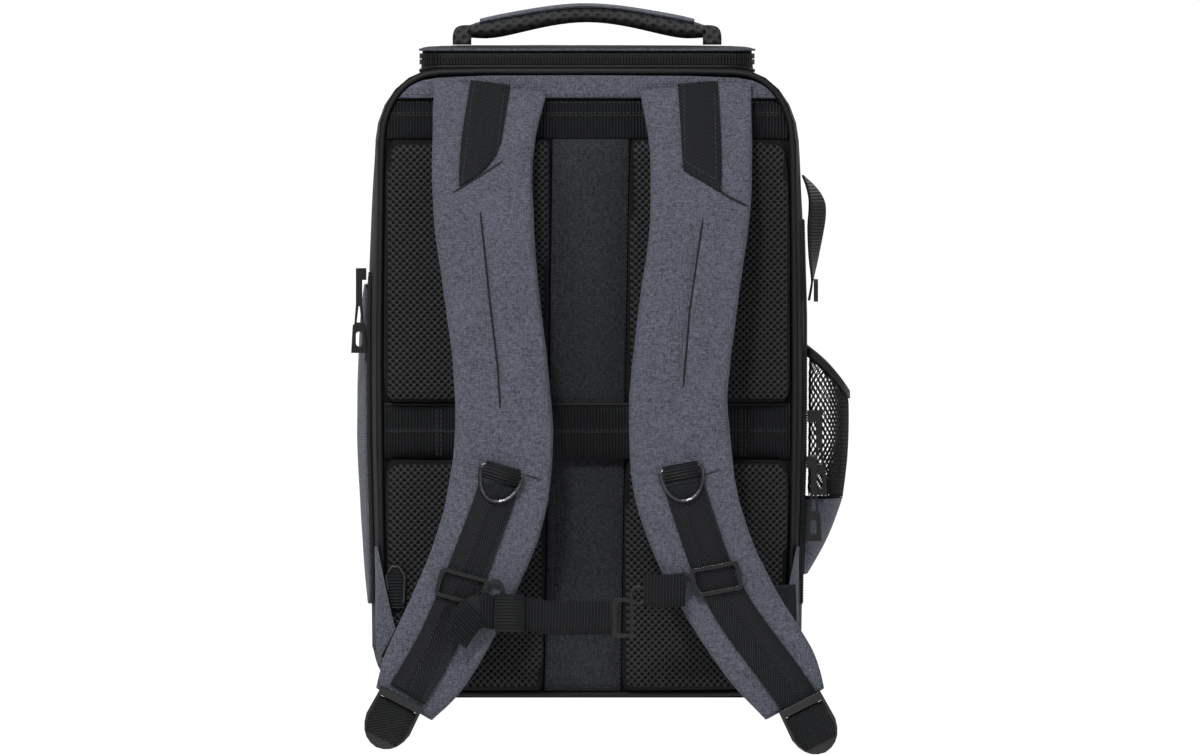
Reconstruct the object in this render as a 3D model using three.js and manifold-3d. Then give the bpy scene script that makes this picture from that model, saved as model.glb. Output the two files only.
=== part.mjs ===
// Camera backpack with its harness side towards -Y. Millimetres, +Z up.
// The bag hangs from its grab handle: the origin is the middle of the underside of the grip.
import * as THREE from 'three';
import { mergeVertices } from 'three/addons/utils/BufferGeometryUtils.js';
import Module from 'manifold-3d';

const wasm = await Module();
wasm.setup();

// Sizes of the body
const bodyWidth = 328;
const bodyHeight = 474;
const bodyDepth = 190;
const topCornerRadius = 56;
const baseCornerRadius = 36;
const clothWall = 3;
const boardThickness = 4;
const sideBulge = 7;
const frontCrown = 14;
const pipingRadius = 2.3;
const clearance = 0.3;
const panelInset = 2 * pipingRadius + 2 * clearance;

// Sizes of the lid
const lidWidth = 251;
const lidDepth = 128;
const lidHeight = 17;
const lidCornerRadius = 24;
const lidSetback = 7;

// Sizes of the harness side
const yokeHeight = 18;
const yokeThickness = 6.5;
const topWebbingHeight = 30;
const luggageWebbingHeight = 42;
const luggageWebbingRise = 201;
const luggageSlotWidth = 224;
const luggageBow = 8.5;
const webbingThickness = 1.6;
const padThickness = 12;
const columnWidth = 57;
const columnThickness = 3.5;
const columnLean = 7;

// Sizes of the grab handle
const handleLength = 174;
const handleDrop = 16;
const handleGripHeight = 12.5;
const handleGripDepth = 24;
const handlePostWidth = 14;
const handlePostHeight = 13;
const handleSetback = 40;

// Sizes of the shoulder straps
const strapTopBelow = 15;
const strapTop = bodyHeight - strapTopBelow;
const strapTailBelow = 3;
const strapDrop = strapTop + strapTailBelow;
const strapSpread = 164;
const strapWidth = 76;
const strapThickness = 11;
const strapStand = 46;
const strapMeshThickness = 3;
const strapWebbing = 30;
const creaseDepth = 2.4;

// Sizes of the strap fittings
const ringWidth = 35;
const ringDepth = 28;
const ringWire = 3;
const keeperLength = 10;
const slideHeight = 22;
const slideBar = 3;
const slideThickness = 2.6;
const slideLug = 7.5;
const lockLength = 43;
const lockThickness = 3.4;
const sternumWidth = 25;
const anchorWidth = 25;

// Sizes of the side pieces
const pocketBulge = 30;
const pocketDepth = 118;
const pocketRise = 92;
const pocketHeight = 171;
const pocketBaseHeight = 57;
const pocketWall = 2;
const zipHeight = 250;
const sidePocketHeight = 240;
const sidePocketDepth = 116;
const rightZipHeight = 290;
const zipWidth = 8;
const zipThickness = 1.6;
const pullLength = 58;

// Share of the half width by height, from the base up
const swellRows = [
  { rise: 0, swell: 0.99 },
  { rise: 0.25, swell: 0.995 },
  { rise: 0.48, swell: 1.014 },
  { rise: 0.7, swell: 1.004 },
  { rise: 0.86, swell: 1 },
  { rise: 1, swell: 1 },
];

// Share of the depth by height: the bag is deepest low down
const depthRows = [
  { rise: 0, depth: 0.95 },
  { rise: 0.3, depth: 1 },
  { rise: 0.65, depth: 0.95 },
  { rise: 1, depth: 0.78 },
];

// Share of the side walls' bulge by height: it dies away towards the top corners
const bulgeRows = [
  { rise: 0, bulge: 1 },
  { rise: 0.72, bulge: 1 },
  { rise: 0.87, bulge: 0.45 },
  { rise: 1, bulge: 0.2 },
];

// How far the gusset swells between its back and front edges: 1 is held in, 0 is full
const gussetRows = [
  { deep: 0, held: 1 },
  { deep: 0.08, held: 0.4 },
  { deep: 0.28, held: 0 },
  { deep: 0.72, held: 0 },
  { deep: 0.92, held: 0.4 },
  { deep: 1, held: 1 },
];

// Shoulder straps, from the yoke down: drop along the strap, side off the middle, width, stand off the
// back, thickness and depth of the sewn crease
const leftStrapRows = [
  { drop: 0, side: -0.446, width: 1.12, stand: 0, thick: 0.45, crease: 0 },
  { drop: 0.1, side: -0.478, width: 1, stand: 0.36, thick: 1, crease: 0 },
  { drop: 0.186, side: -0.478, width: 0.995, stand: 0.66, thick: 1, crease: 0 },
  { drop: 0.263, side: -0.46, width: 0.957, stand: 0.84, thick: 1, crease: 1 },
  { drop: 0.36, side: -0.426, width: 0.933, stand: 0.94, thick: 1, crease: 1 },
  { drop: 0.435, side: -0.402, width: 0.928, stand: 0.96, thick: 1, crease: 1 },
  { drop: 0.51, side: -0.384, width: 0.947, stand: 0.95, thick: 1, crease: 0.6 },
  { drop: 0.588, side: -0.382, width: 0.985, stand: 0.95, thick: 1, crease: 0 },
  { drop: 0.647, side: -0.399, width: 1, stand: 0.97, thick: 1, crease: 0 },
  { drop: 0.717, side: -0.444, width: 0.975, stand: 1, thick: 1, crease: 0 },
  { drop: 0.829, side: -0.576, width: 0.918, stand: 1, thick: 1, crease: 0 },
  { drop: 0.906, side: -0.682, width: 0.888, stand: 0.97, thick: 1, crease: 0 },
  { drop: 0.96, side: -0.77, width: 0.82, stand: 0.94, thick: 0.9, crease: 0 },
  { drop: 1, side: -0.836, width: 0.64, stand: 0.92, thick: 0.6, crease: 0 },
];
const rightStrapRows = [
  { drop: 0, side: 0.5, width: 1.1, stand: 0, thick: 0.45, crease: 0 },
  { drop: 0.1, side: 0.521, width: 1.02, stand: 0.36, thick: 1, crease: 0 },
  { drop: 0.186, side: 0.52, width: 1, stand: 0.66, thick: 1, crease: 0 },
  { drop: 0.263, side: 0.499, width: 0.965, stand: 0.84, thick: 1, crease: 1 },
  { drop: 0.36, side: 0.462, width: 0.965, stand: 0.94, thick: 1, crease: 1 },
  { drop: 0.435, side: 0.435, width: 0.96, stand: 0.96, thick: 1, crease: 1 },
  { drop: 0.51, side: 0.417, width: 0.975, stand: 0.95, thick: 1, crease: 0.4 },
  { drop: 0.588, side: 0.426, width: 1, stand: 0.95, thick: 1, crease: 0 },
  { drop: 0.647, side: 0.444, width: 1.01, stand: 0.97, thick: 1, crease: 0 },
  { drop: 0.75, side: 0.535, width: 0.95, stand: 1, thick: 1, crease: 0 },
  { drop: 0.848, side: 0.677, width: 0.9, stand: 1, thick: 1, crease: 0 },
  { drop: 0.904, side: 0.782, width: 0.885, stand: 0.97, thick: 1, crease: 0 },
  { drop: 0.957, side: 0.884, width: 0.83, stand: 0.94, thick: 0.9, crease: 0 },
  { drop: 1, side: 0.951, width: 0.66, stand: 0.92, thick: 0.6, crease: 0 },
];

// Section of a shoulder strap, from its left edge to its right: front and back as shares of thickness
const strapSection = [
  { across: -0.5, front: 0.56, back: 0.36, groove: 0 },
  { across: -0.47, front: 0.86, back: 0.08, groove: 0 },
  { across: -0.36, front: 1, back: 0, groove: 0 },
  { across: -0.05, front: 1, back: 0, groove: 0 },
  { across: 0, front: 1, back: 0, groove: 1 },
  { across: 0.05, front: 1, back: 0, groove: 0 },
  { across: 0.36, front: 1, back: 0, groove: 0 },
  { across: 0.47, front: 0.86, back: 0.08, groove: 0 },
  { across: 0.5, front: 0.56, back: 0.36, groove: 0 },
];

// Grab handle grip, from the middle out: share of the half length, of the drop and of the height
const gripRows = [
  { out: 0, drop: 0, height: 1 },
  { out: 0.3, drop: 0.16, height: 1.08 },
  { out: 0.6, drop: 0.5, height: 1.25 },
  { out: 0.8, drop: 0.72, height: 1.32 },
  { out: 0.93, drop: 0.8, height: 1.05 },
  { out: 1, drop: 0.86, height: 0.8 },
];

// Materials, each with the colour and roughness of its real stuff
const cloth = (colour) => new THREE.MeshStandardMaterial({ color: colour, roughness: 0.9, metalness: 0 });
const plastic = () => new THREE.MeshStandardMaterial({ color: 0x2a2b2d, roughness: 0.45, metalness: 0 });
const gunmetal = () => new THREE.MeshStandardMaterial({ color: 0x55565a, roughness: 0.3, metalness: 1 });
const heatherGrey = 0x5d5f6b;
const heatherDark = 0x3a3b40;
const sideGrey = 0x3c3d40;
const webbingBlack = 0x26282a;
const meshBlack = 0x141516;
const pipingBlack = 0x1b1c1e;

const bag = new THREE.Group();
bag.name = 'camera_backpack';
const handleUnderside = bodyHeight + lidHeight + handleDrop + handlePostHeight * 0.15;
bag.position.set(0, -handleSetback, -handleUnderside);

function addPiece(name, geometry, material) {
  const mesh = new THREE.Mesh(geometry, material);
  mesh.name = name;
  bag.add(mesh);
  return mesh;
}

// Reads a column of a table at a key between its rows, on a smooth curve through them
function readTable(rows, key, column, at) {
  const last = rows.length - 1;
  const slope = (i) => {
    const before = rows[Math.max(i - 1, 0)];
    const after = rows[Math.min(i + 1, last)];
    return (after[column] - before[column]) / (after[key] - before[key]);
  };
  if (at <= rows[0][key]) return rows[0][column];
  if (at >= rows[last][key]) return rows[last][column];
  let i = 0;
  while (at > rows[i + 1][key]) i += 1;
  const span = rows[i + 1][key] - rows[i][key];
  const t = (at - rows[i][key]) / span;
  const blend = t * t * (3 - 2 * t);
  const leave = t * (1 - t) * (1 - t) * span * slope(i);
  const arrive = t * t * (t - 1) * span * slope(i + 1);
  return rows[i][column] * (1 - blend) + rows[i + 1][column] * blend + leave + arrive;
}

function signedVolume(geometry) {
  const place = geometry.getAttribute('position');
  const corners = [0, 1, 2].map(() => new THREE.Vector3());
  const index = geometry.getIndex().array;
  let volume = 0;
  for (let i = 0; i < index.length; i += 3) {
    corners.forEach((corner, k) => corner.fromBufferAttribute(place, index[i + k]));
    volume += corners[0].dot(corners[1].clone().cross(corners[2])) / 6;
  }
  return volume;
}

// A closed solid through loops of points. A loop runs along one face and back along the other, so the
// caps join each point to the one opposite. A ring is closed on itself and has no caps.
function solidThrough(loops, ring = false) {
  const count = loops[0].length;
  const positions = loops.flat().flatMap((point) => [point.x, point.y, point.z]);
  const index = [];
  const spans = ring ? loops.length : loops.length - 1;
  for (let i = 0; i < spans; i += 1) {
    const near = i * count;
    const far = ((i + 1) % loops.length) * count;
    for (let k = 0; k < count; k += 1) {
      const next = (k + 1) % count;
      index.push(near + k, near + next, far + next, near + k, far + next, far + k);
    }
  }
  const cap = (start, flip) => {
    for (let k = 0; k < count / 2 - 1; k += 1) {
      const across = count - 1 - k;
      const quad = [start + k, start + across, start + across - 1, start + k + 1];
      if (flip) quad.reverse();
      index.push(quad[0], quad[1], quad[2], quad[0], quad[2], quad[3]);
    }
  };
  if (!ring) {
    cap(0, false);
    cap((loops.length - 1) * count, true);
  }
  const geometry = new THREE.BufferGeometry();
  geometry.setAttribute('position', new THREE.Float32BufferAttribute(positions, 3));
  geometry.setIndex(index);
  if (signedVolume(geometry) < 0) geometry.setIndex(index.reverse());
  geometry.computeVertexNormals();
  return geometry;
}

function toManifold(geometry) {
  const bare = geometry.clone();
  bare.deleteAttribute('normal');
  bare.deleteAttribute('uv');
  const merged = mergeVertices(bare, 1e-4);
  const vertProperties = Float32Array.from(merged.getAttribute('position').array);
  const triVerts = Uint32Array.from(merged.getIndex().array);
  return new wasm.Manifold(new wasm.Mesh({ numProp: 3, vertProperties, triVerts }));
}

function fromManifold(solid) {
  const mesh = solid.getMesh();
  const geometry = new THREE.BufferGeometry();
  geometry.setAttribute('position', new THREE.Float32BufferAttribute(mesh.vertProperties, 3));
  geometry.setIndex(Array.from(mesh.triVerts));
  geometry.computeVertexNormals();
  return geometry;
}

// A flat plate cut from a shape, between two distances along its own Z
function plate(shape, from, to, curveSegments = 6) {
  const settings = { depth: to - from, bevelEnabled: false, curveSegments };
  return new THREE.ExtrudeGeometry(shape, settings).translate(0, 0, from);
}

function roundedRectangle(Kind, left, bottom, width, height, radius) {
  const right = left + width;
  const top = bottom + height;
  const path = new Kind();
  path.moveTo(left + radius, bottom);
  path.lineTo(right - radius, bottom);
  path.absarc(right - radius, bottom + radius, radius, -Math.PI / 2, 0, false);
  path.lineTo(right, top - radius);
  path.absarc(right - radius, top - radius, radius, 0, Math.PI / 2, false);
  path.lineTo(left + radius, top);
  path.absarc(left + radius, top - radius, radius, Math.PI / 2, Math.PI, false);
  path.lineTo(left, bottom + radius);
  path.absarc(left + radius, bottom + radius, radius, Math.PI, Math.PI * 1.5, false);
  return path;
}

const vector = (x, y, z) => new THREE.Vector3(x, y, z);
const span = (from, to) => Array.from({ length: to - from + 1 }, (_, i) => from + i);

// Body outline in the X-Z plane, from the base's right corner up, over the top and down the left
const baseSteps = 4;
const topSteps = 6;
const sideHeights = [0.2, 0.4, 0.6, 0.78];
const wallBack = boardThickness + clearance;
const outlineCount = 2 * (baseSteps + 1 + sideHeights.length + topSteps + 1);

function rightHalfOutline() {
  const half = bodyWidth / 2;
  const points = [];
  const corner = (x, z, radius, start, steps) => {
    for (let i = 0; i <= steps; i += 1) {
      const angle = start + (Math.PI / 2) * (i / steps);
      const nx = Math.cos(angle);
      const nz = Math.sin(angle);
      points.push({ x: x + radius * nx, z: z + radius * nz, nx, nz });
    }
  };
  corner(half - baseCornerRadius, baseCornerRadius, baseCornerRadius, -Math.PI / 2, baseSteps);
  for (const rise of sideHeights) {
    points.push({ x: half, z: rise * bodyHeight, nx: 1, nz: 0 });
  }
  corner(half - topCornerRadius, bodyHeight - topCornerRadius, topCornerRadius, 0, topSteps);
  return points;
}

function bodyOutline(inset, held) {
  const right = rightHalfOutline().map((point) => {
    const swell = readTable(swellRows, 'rise', 'swell', point.z / bodyHeight);
    const bulge = readTable(bulgeRows, 'rise', 'bulge', point.z / bodyHeight);
    const drawnIn = inset + sideBulge * (1 - bulge * (1 - held)) * Math.abs(point.nx);
    return { x: (point.x - drawnIn * point.nx) * swell, z: point.z - inset * point.nz };
  });
  const left = right.map((point) => ({ x: -point.x, z: point.z })).reverse();
  return [...right, ...left];
}

function frontAt(z) {
  return bodyDepth * readTable(depthRows, 'rise', 'depth', z / bodyHeight);
}

// Distance of the right edge from the middle at a height, read along the outline's straight stretches
function outlineAt(z, inset, held) {
  const points = bodyOutline(inset, held).slice(0, outlineCount / 2);
  const after = points.findIndex((point) => point.z >= z);
  if (after <= 0) return points[0].x;
  const [low, high] = [points[after - 1], points[after]];
  return low.x + ((high.x - low.x) * (z - low.z)) / (high.z - low.z);
}

// Half width of the harness panel at a height, inside its piping
function panelHalfWidth(z) {
  return outlineAt(z, panelInset, 1);
}

// Outside of a side wall at a distance back from the harness side and a height
function sideAt(y, z) {
  const wallFront = frontAt(z) - clearance;
  const deep = (y - wallBack) / (wallFront - wallBack);
  const after = Math.max(gussetRows.findIndex((row) => row.deep >= deep), 1);
  const [near, far] = [gussetRows[after - 1], gussetRows[after]];
  const held = near.held + ((far.held - near.held) * (deep - near.deep)) / (far.deep - near.deep);
  return outlineAt(z, 0, held);
}

// Body shell: four gusset walls round the outline, a padded back board and a crowned front.
// Each wall's two ends are moved up or down by half the clearance to leave the seam's gap.
function gussetWall(indices, startWay, endWay) {
  const ways = new Map([[0, startWay], [indices.length - 1, endWay]]);
  return solidThrough(indices.map((index, order) => {
    const apart = (clearance / 2) * (ways.get(order) ?? 0);
    const line = (inset) => gussetRows.map((row) => {
      const point = bodyOutline(inset, row.held)[index];
      const wallFront = frontAt(point.z) - clearance;
      return vector(point.x, wallBack + row.deep * (wallFront - wallBack), point.z + apart);
    });
    return [...line(0), ...line(clothWall).reverse()];
  }));
}

const sideStart = baseSteps;
const sideEnd = baseSteps + sideHeights.length + 1;
const opposite = (index) => outlineCount - 1 - index;
const baseRun = [...span(opposite(sideStart), outlineCount - 1), ...span(0, sideStart)];
const rightRun = span(sideStart, sideEnd);
const leftRun = rightRun.map(opposite);
const topRun = span(sideEnd, opposite(sideEnd));

addPiece('base_panel', gussetWall(baseRun, -1, -1), cloth(sideGrey));
addPiece('side_panel_right', gussetWall(rightRun, 1, -1), cloth(sideGrey));
addPiece('side_panel_left', gussetWall(leftRun, 1, -1), cloth(sideGrey));

function panelLoop(inset, held, yAt) {
  return bodyOutline(inset, held).map((point) => vector(point.x, yAt(point.z), point.z));
}

addPiece('back_panel', solidThrough([
  panelLoop(0, 1, () => 0),
  panelLoop(0, 1, () => boardThickness),
]), cloth(meshBlack));

// Front panel: rows run from the inside middle out to the rim and back over the crowned outside
const frontRows = [
  { inset: 30, crown: 1, wall: 0 },
  { inset: 16, crown: 0.55, wall: 0 },
  { inset: panelInset + clothWall, crown: 0, wall: 0 },
  { inset: 0, crown: 0, wall: 0 },
  { inset: 0, crown: 0, wall: 1 },
  { inset: panelInset, crown: 0, wall: 1 },
  { inset: 16, crown: 0.66, wall: 1 },
  { inset: 30, crown: 1, wall: 1 },
];
addPiece('front_panel', solidThrough(frontRows.map((row) => panelLoop(
  row.inset,
  1,
  (z) => frontAt(z) + clearance + row.crown * frontCrown + row.wall * clothWall,
))), cloth(heatherGrey));

// Piping: a round cord sewn round the edge of a panel, just in front of it
function piping(yAt) {
  const sides = 6;
  const inner = bodyOutline(pipingRadius + 1, 1);
  const outward = bodyOutline(pipingRadius, 1);
  const loops = inner.map((point, i) => {
    const away = new THREE.Vector2(outward[i].x - point.x, outward[i].z - point.z).normalize();
    return Array.from({ length: sides }, (_, k) => {
      const angle = (2 * Math.PI * (k + 0.5)) / sides;
      const out = pipingRadius * Math.cos(angle);
      const deep = pipingRadius * Math.sin(angle);
      return vector(outward[i].x + away.x * out, yAt(outward[i].z) + deep, outward[i].z + away.y * out);
    });
  });
  return solidThrough(loops, true);
}
addPiece('piping_back', piping(() => -pipingRadius - clearance), cloth(pipingBlack));
const onFront = pipingRadius + 2 * clearance + clothWall;
addPiece('piping_front', piping((z) => frontAt(z) + onFront), cloth(pipingBlack));

// Top wall with the lid's opening cut through it
const lidBack = boardThickness + lidSetback;
const lidInset = 8;
function lidOutline(Kind, inset) {
  const width = lidWidth - 2 * inset;
  const depth = lidDepth - 2 * inset;
  const radius = lidCornerRadius - inset;
  return roundedRectangle(Kind, -width / 2, lidBack + inset, width, depth, radius);
}
const mouthCutter = plate(lidOutline(THREE.Shape, lidInset), bodyHeight - 20, bodyHeight + 10);
const topWall = toManifold(gussetWall(topRun, 1, 1)).subtract(toManifold(mouthCutter));
addPiece('top_panel', fromManifold(topWall), cloth(sideGrey));

// Height of the top wall's outside, which falls away over the corners
function roofAt(x) {
  const over = Math.abs(x) - (bodyWidth / 2 - topCornerRadius);
  if (over <= 0) return bodyHeight;
  return bodyHeight - topCornerRadius + Math.sqrt(topCornerRadius ** 2 - over ** 2);
}

function lidLoop(inset, zAt) {
  const points = lidOutline(THREE.Shape, inset).getPoints(5);
  if (points[0].distanceTo(points[points.length - 1]) < 1e-6) points.pop();
  return points.map((point) => vector(point.x, point.y, zAt(point.x)));
}
const lidBinding = 4;
const lidRim = bodyHeight + lidHeight - lidBinding;
const lidTaper = 3;
const lidBandLoops = [
  lidLoop(0, (x) => roofAt(x) + clearance),
  lidLoop(lidTaper * 0.4, () => lidRim - clearance),
  lidLoop(lidTaper * 0.4 + clothWall, () => lidRim - clearance),
  lidLoop(clothWall, (x) => roofAt(x) + clearance),
];
const bandSections = lidBandLoops[0].map((_, i) => lidBandLoops.map((loop) => loop[i]));
addPiece('lid_band', solidThrough(bandSections, true), cloth(pipingBlack));

const lidRows = [
  { inset: 0.4, rise: 0 },
  { inset: 0, rise: 0.35 },
  { inset: 1.2, rise: 0.7 },
  { inset: 7, rise: 1 },
];
const lidLoopsAll = lidRows.map((row) => lidLoop(row.inset * lidTaper, () => lidRim + lidBinding * row.rise));
// The lid's ladder caps need the loop to start half way along its short side
function turned(loop, by) {
  return [...loop.slice(by), ...loop.slice(0, by)];
}
addPiece('lid_top', solidThrough(lidLoopsAll.map((loop) => turned(loop, 3))), cloth(heatherDark));

// Plates on the harness side, in front of the back board: rows give inset and distance to the front
function cushion(outline, rows) {
  const loops = rows.map((row) => insetLoop(outline, row.inset).map((p) => vector(p.x, -row.out, p.z)));
  return solidThrough(loops);
}

// Moves each side of a convex outline in by a distance
function insetLoop(outline, inset) {
  const count = outline.length;
  const edgeNormal = (i) => {
    const a = outline[i];
    const b = outline[(i + 1) % count];
    return new THREE.Vector2(-(b.z - a.z), b.x - a.x).normalize();
  };
  return outline.map((point, i) => {
    const before = edgeNormal((i + count - 1) % count);
    const after = edgeNormal(i);
    const middle = before.clone().add(after).normalize();
    const reach = inset / Math.max(middle.dot(after), 0.5);
    return { x: point.x + middle.x * reach, z: point.z + middle.y * reach };
  });
}

// A plate across the whole harness panel between two heights, in matching left and right points
function bandOutline(bottom, top, steps) {
  const right = Array.from({ length: steps + 1 }, (_, i) => {
    const z = bottom + ((top - bottom) * i) / steps;
    return { x: panelHalfWidth(z), z };
  });
  const left = right.map((point) => ({ x: -point.x, z: point.z })).reverse();
  return [...right, ...left];
}

const flatRows = (thickness, edge) => [
  { inset: 0, out: clearance },
  { inset: 0, out: thickness - edge },
  { inset: edge, out: thickness },
];
const panelTop = bodyHeight - panelInset;
const yokeBottom = panelTop - yokeHeight + clearance;
addPiece('yoke', cushion(bandOutline(yokeBottom, panelTop, 4), flatRows(yokeThickness, 1.5)), cloth(heatherGrey));

const topWebbingTop = yokeBottom - clearance;
const topWebbingBottom = topWebbingTop - topWebbingHeight;
const webbingRows = flatRows(webbingThickness + clearance, 0.3);
addPiece('top_webbing', cushion(bandOutline(topWebbingBottom, topWebbingTop, 3), webbingRows), cloth(webbingBlack));

// Middle of the column at a height: it leans a little
const columnMiddle = (z) => columnLean * (z / bodyHeight - 0.5);
const columnBottom = panelInset;
const columnTop = topWebbingBottom - clearance;
const columnOutline = [
  { x: columnMiddle(columnBottom) + columnWidth / 2, z: columnBottom },
  { x: columnMiddle(columnTop) + columnWidth / 2, z: columnTop },
  { x: columnMiddle(columnTop) - columnWidth / 2, z: columnTop },
  { x: columnMiddle(columnBottom) - columnWidth / 2, z: columnBottom },
];
addPiece('centre_column', cushion(columnOutline, flatRows(columnThickness, 1)), cloth(heatherDark));

// Four mesh pads: two above and two below the luggage webbing
const padRows = [
  { inset: 0.8, out: clearance },
  { inset: 0, out: padThickness * 0.4 },
  { inset: 1.6, out: padThickness * 0.78 },
  { inset: 6, out: padThickness },
];
const padShares = [0, 0.04, 0.14, 0.32, 0.64, 0.96, 1];
const padCorner = 6;
function padOutline(sign, bottom, top) {
  const gap = 2 * clearance;
  const inner = (z) => sign * columnMiddle(z) + columnWidth / 2 + gap;
  const places = padShares.map((share) => ({
    z: bottom + (top - bottom) * share,
    pulled: share === 0 || share === 1 ? padCorner : 0,
  }));
  const outerSide = places.map(({ z, pulled }) => ({ x: panelHalfWidth(z) - pulled, z }));
  const innerSide = places.map(({ z, pulled }) => ({ x: inner(z) + pulled / 2, z })).reverse();
  return [...outerSide, ...innerSide].map((point) => ({ x: sign * point.x, z: point.z }));
}
const luggageTop = luggageWebbingRise + luggageWebbingHeight / 2;
const luggageBottom = luggageWebbingRise - luggageWebbingHeight / 2;
const padSpans = {
  upper: [luggageTop + clearance, topWebbingBottom - clearance],
  lower: [columnBottom, luggageBottom - clearance],
};
for (const [level, [bottom, top]] of Object.entries(padSpans)) {
  for (const [side, sign] of [['left', -1], ['right', 1]]) {
    const outline = padOutline(sign, bottom, top);
    if (sign < 0) outline.reverse();
    addPiece(`back_pad_${level}_${side}`, cushion(outline, padRows), cloth(meshBlack));
  }
}

// Luggage webbing: sewn down at both sides and bowed off the column between its stitch lines
function luggageWebbing() {
  const half = panelHalfWidth(luggageWebbingRise);
  const free = luggageSlotWidth / 2;
  const steps = [-half, -free, -free * 0.85, -free * 0.6, free * 0.6, free * 0.85, free, half];
  const bow = [0, 0, 0.35, 1, 1, 0.35, 0, 0];
  return solidThrough(steps.map((x, i) => {
    const back = -clearance - bow[i] * luggageBow;
    const front = back - webbingThickness;
    return [
      vector(x, back, luggageBottom), vector(x, back, luggageTop),
      vector(x, front, luggageTop), vector(x, front, luggageBottom),
    ];
  }));
}
addPiece('luggage_webbing', luggageWebbing(), cloth(webbingBlack));

// Grab handle: a padded grip with a cloth cover on top, between two posts on the lid
const gripHalf = [...gripRows.slice(1).map((row) => ({ ...row, out: -row.out })).reverse(), ...gripRows];

function gripPoint(row, degrees, grow) {
  const angle = THREE.MathUtils.degToRad(degrees);
  const height = handleGripHeight * row.height;
  const middle = handleUnderside + handleGripHeight / 2 - handleDrop * row.drop;
  return vector(
    (row.out * handleLength) / 2,
    handleSetback + Math.cos(angle) * (handleGripDepth / 2 + grow),
    middle + Math.sin(angle) * (height / 2 + grow),
  );
}
const gripAngles = span(0, 11).map((k) => 15 + 30 * k);
addPiece('handle_grip', solidThrough(gripHalf.map((row) => gripAngles.map((angle) => gripPoint(row, angle, 0)))),
  cloth(meshBlack));

const coverGap = 2 * clearance;
const coverThickness = 1.8;
const coverAngles = [45, 75, 105, 135];
const coverRows = gripHalf.slice(1, -1);
addPiece('handle_cover', solidThrough(coverRows.map((row) => [
  ...coverAngles.map((angle) => gripPoint(row, angle, coverGap)),
  ...coverAngles.map((angle) => gripPoint(row, angle, coverGap + coverThickness)).reverse(),
])), cloth(heatherGrey));

const postRows = [
  { rise: 0, depth: 0.9, reach: 1 },
  { rise: 0.57, depth: 0.9, reach: 1.02 },
  { rise: 0.98, depth: 0.81, reach: 0.9 },
  { rise: 1.15, depth: 0.63, reach: 0.6 },
];
for (const [side, sign] of [['left', -1], ['right', 1]]) {
  const inner = handleLength / 2 + clearance;
  const bottom = lidRim + lidBinding + clearance;
  const loops = postRows.map((row) => {
    const z = bottom + row.rise * handlePostHeight;
    const deep = (handleGripDepth / 2) * row.depth;
    const outer = inner + handlePostWidth * row.reach;
    return [
      vector(sign * inner, handleSetback - deep, z), vector(sign * outer, handleSetback - deep, z),
      vector(sign * outer, handleSetback + deep, z), vector(sign * inner, handleSetback + deep, z),
    ];
  });
  addPiece(`handle_post_${side}`, solidThrough(loops), cloth(meshBlack));
}

// Shoulder straps: frames down the strap, each with its middle, directions, width and thickness
const strapStations = 28;
function makeStrap(rows) {
  const read = (column, at) => readTable(rows, 'drop', column, at);
  const backAt = (at) => -(yokeThickness + clearance) - strapStand * read('stand', at);
  const middleAt = (at) => vector(strapSpread * read('side', at), backAt(at), strapTop - strapDrop * at);
  return Array.from({ length: strapStations + 1 }, (_, i) => {
    const at = i / strapStations;
    const step = 0.5 / strapStations;
    const along = middleAt(Math.min(at + step, 1)).sub(middleAt(Math.max(at - step, 0))).normalize();
    const across = vector(0, -1, 0).cross(along).normalize();
    const out = along.clone().cross(across).normalize();
    return {
      middle: middleAt(at),
      along,
      across,
      out,
      width: strapWidth * read('width', at),
      thick: strapThickness * read('thick', at),
      crease: creaseDepth * Math.max(read('crease', at), 0),
    };
  });
}
const straps = { left: makeStrap(leftStrapRows), right: makeStrap(rightStrapRows) };

// A point on a strap: share of its drop, distance across it and height over its back or front face
function strapPoint(strap, at, across, height, overFront = false) {
  const place = Math.min(Math.max(at, 0), 1) * strapStations;
  const low = Math.min(Math.floor(place), strapStations - 1);
  const share = place - low;
  const onFrame = (frame) => {
    const lift = height + (overFront ? frame.thick : 0);
    return frame.middle.clone().addScaledVector(frame.across, across).addScaledVector(frame.out, lift);
  };
  const point = onFrame(strap[low]).lerp(onFrame(strap[low + 1]), share);
  const beyond = at - Math.min(Math.max(at, 0), 1);
  const end = beyond < 0 ? strap[0] : strap[strapStations];
  return point.addScaledVector(end.along, (beyond * strapDrop) / Math.abs(end.along.z));
}

function stationsBetween(from, to) {
  const inside = span(0, strapStations).map((i) => i / strapStations).filter((at) => at > from && at < to);
  return [from, ...inside, to];
}

function strapBody(strap) {
  return solidThrough(strap.map((frame, i) => {
    const at = i / strapStations;
    const line = (face) => strapSection.map((row) => {
      const groove = face === 'front' ? row.groove * frame.crease : 0;
      return strapPoint(strap, at, row.across * frame.width, row[face] * frame.thick - groove);
    });
    return [...line('front'), ...line('back').reverse()];
  }));
}

function strapMesh(strap) {
  const from = 0.025;
  return solidThrough(stationsBetween(from, 1).map((at) => {
    const frame = strap[Math.round(at * strapStations)];
    const half = frame.width * 0.47;
    const line = (height) => [-half, half].map((x) => strapPoint(strap, at, x, height));
    return [...line(-2 * clearance), ...line(-2 * clearance - strapMeshThickness).reverse()];
  }));
}

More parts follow.
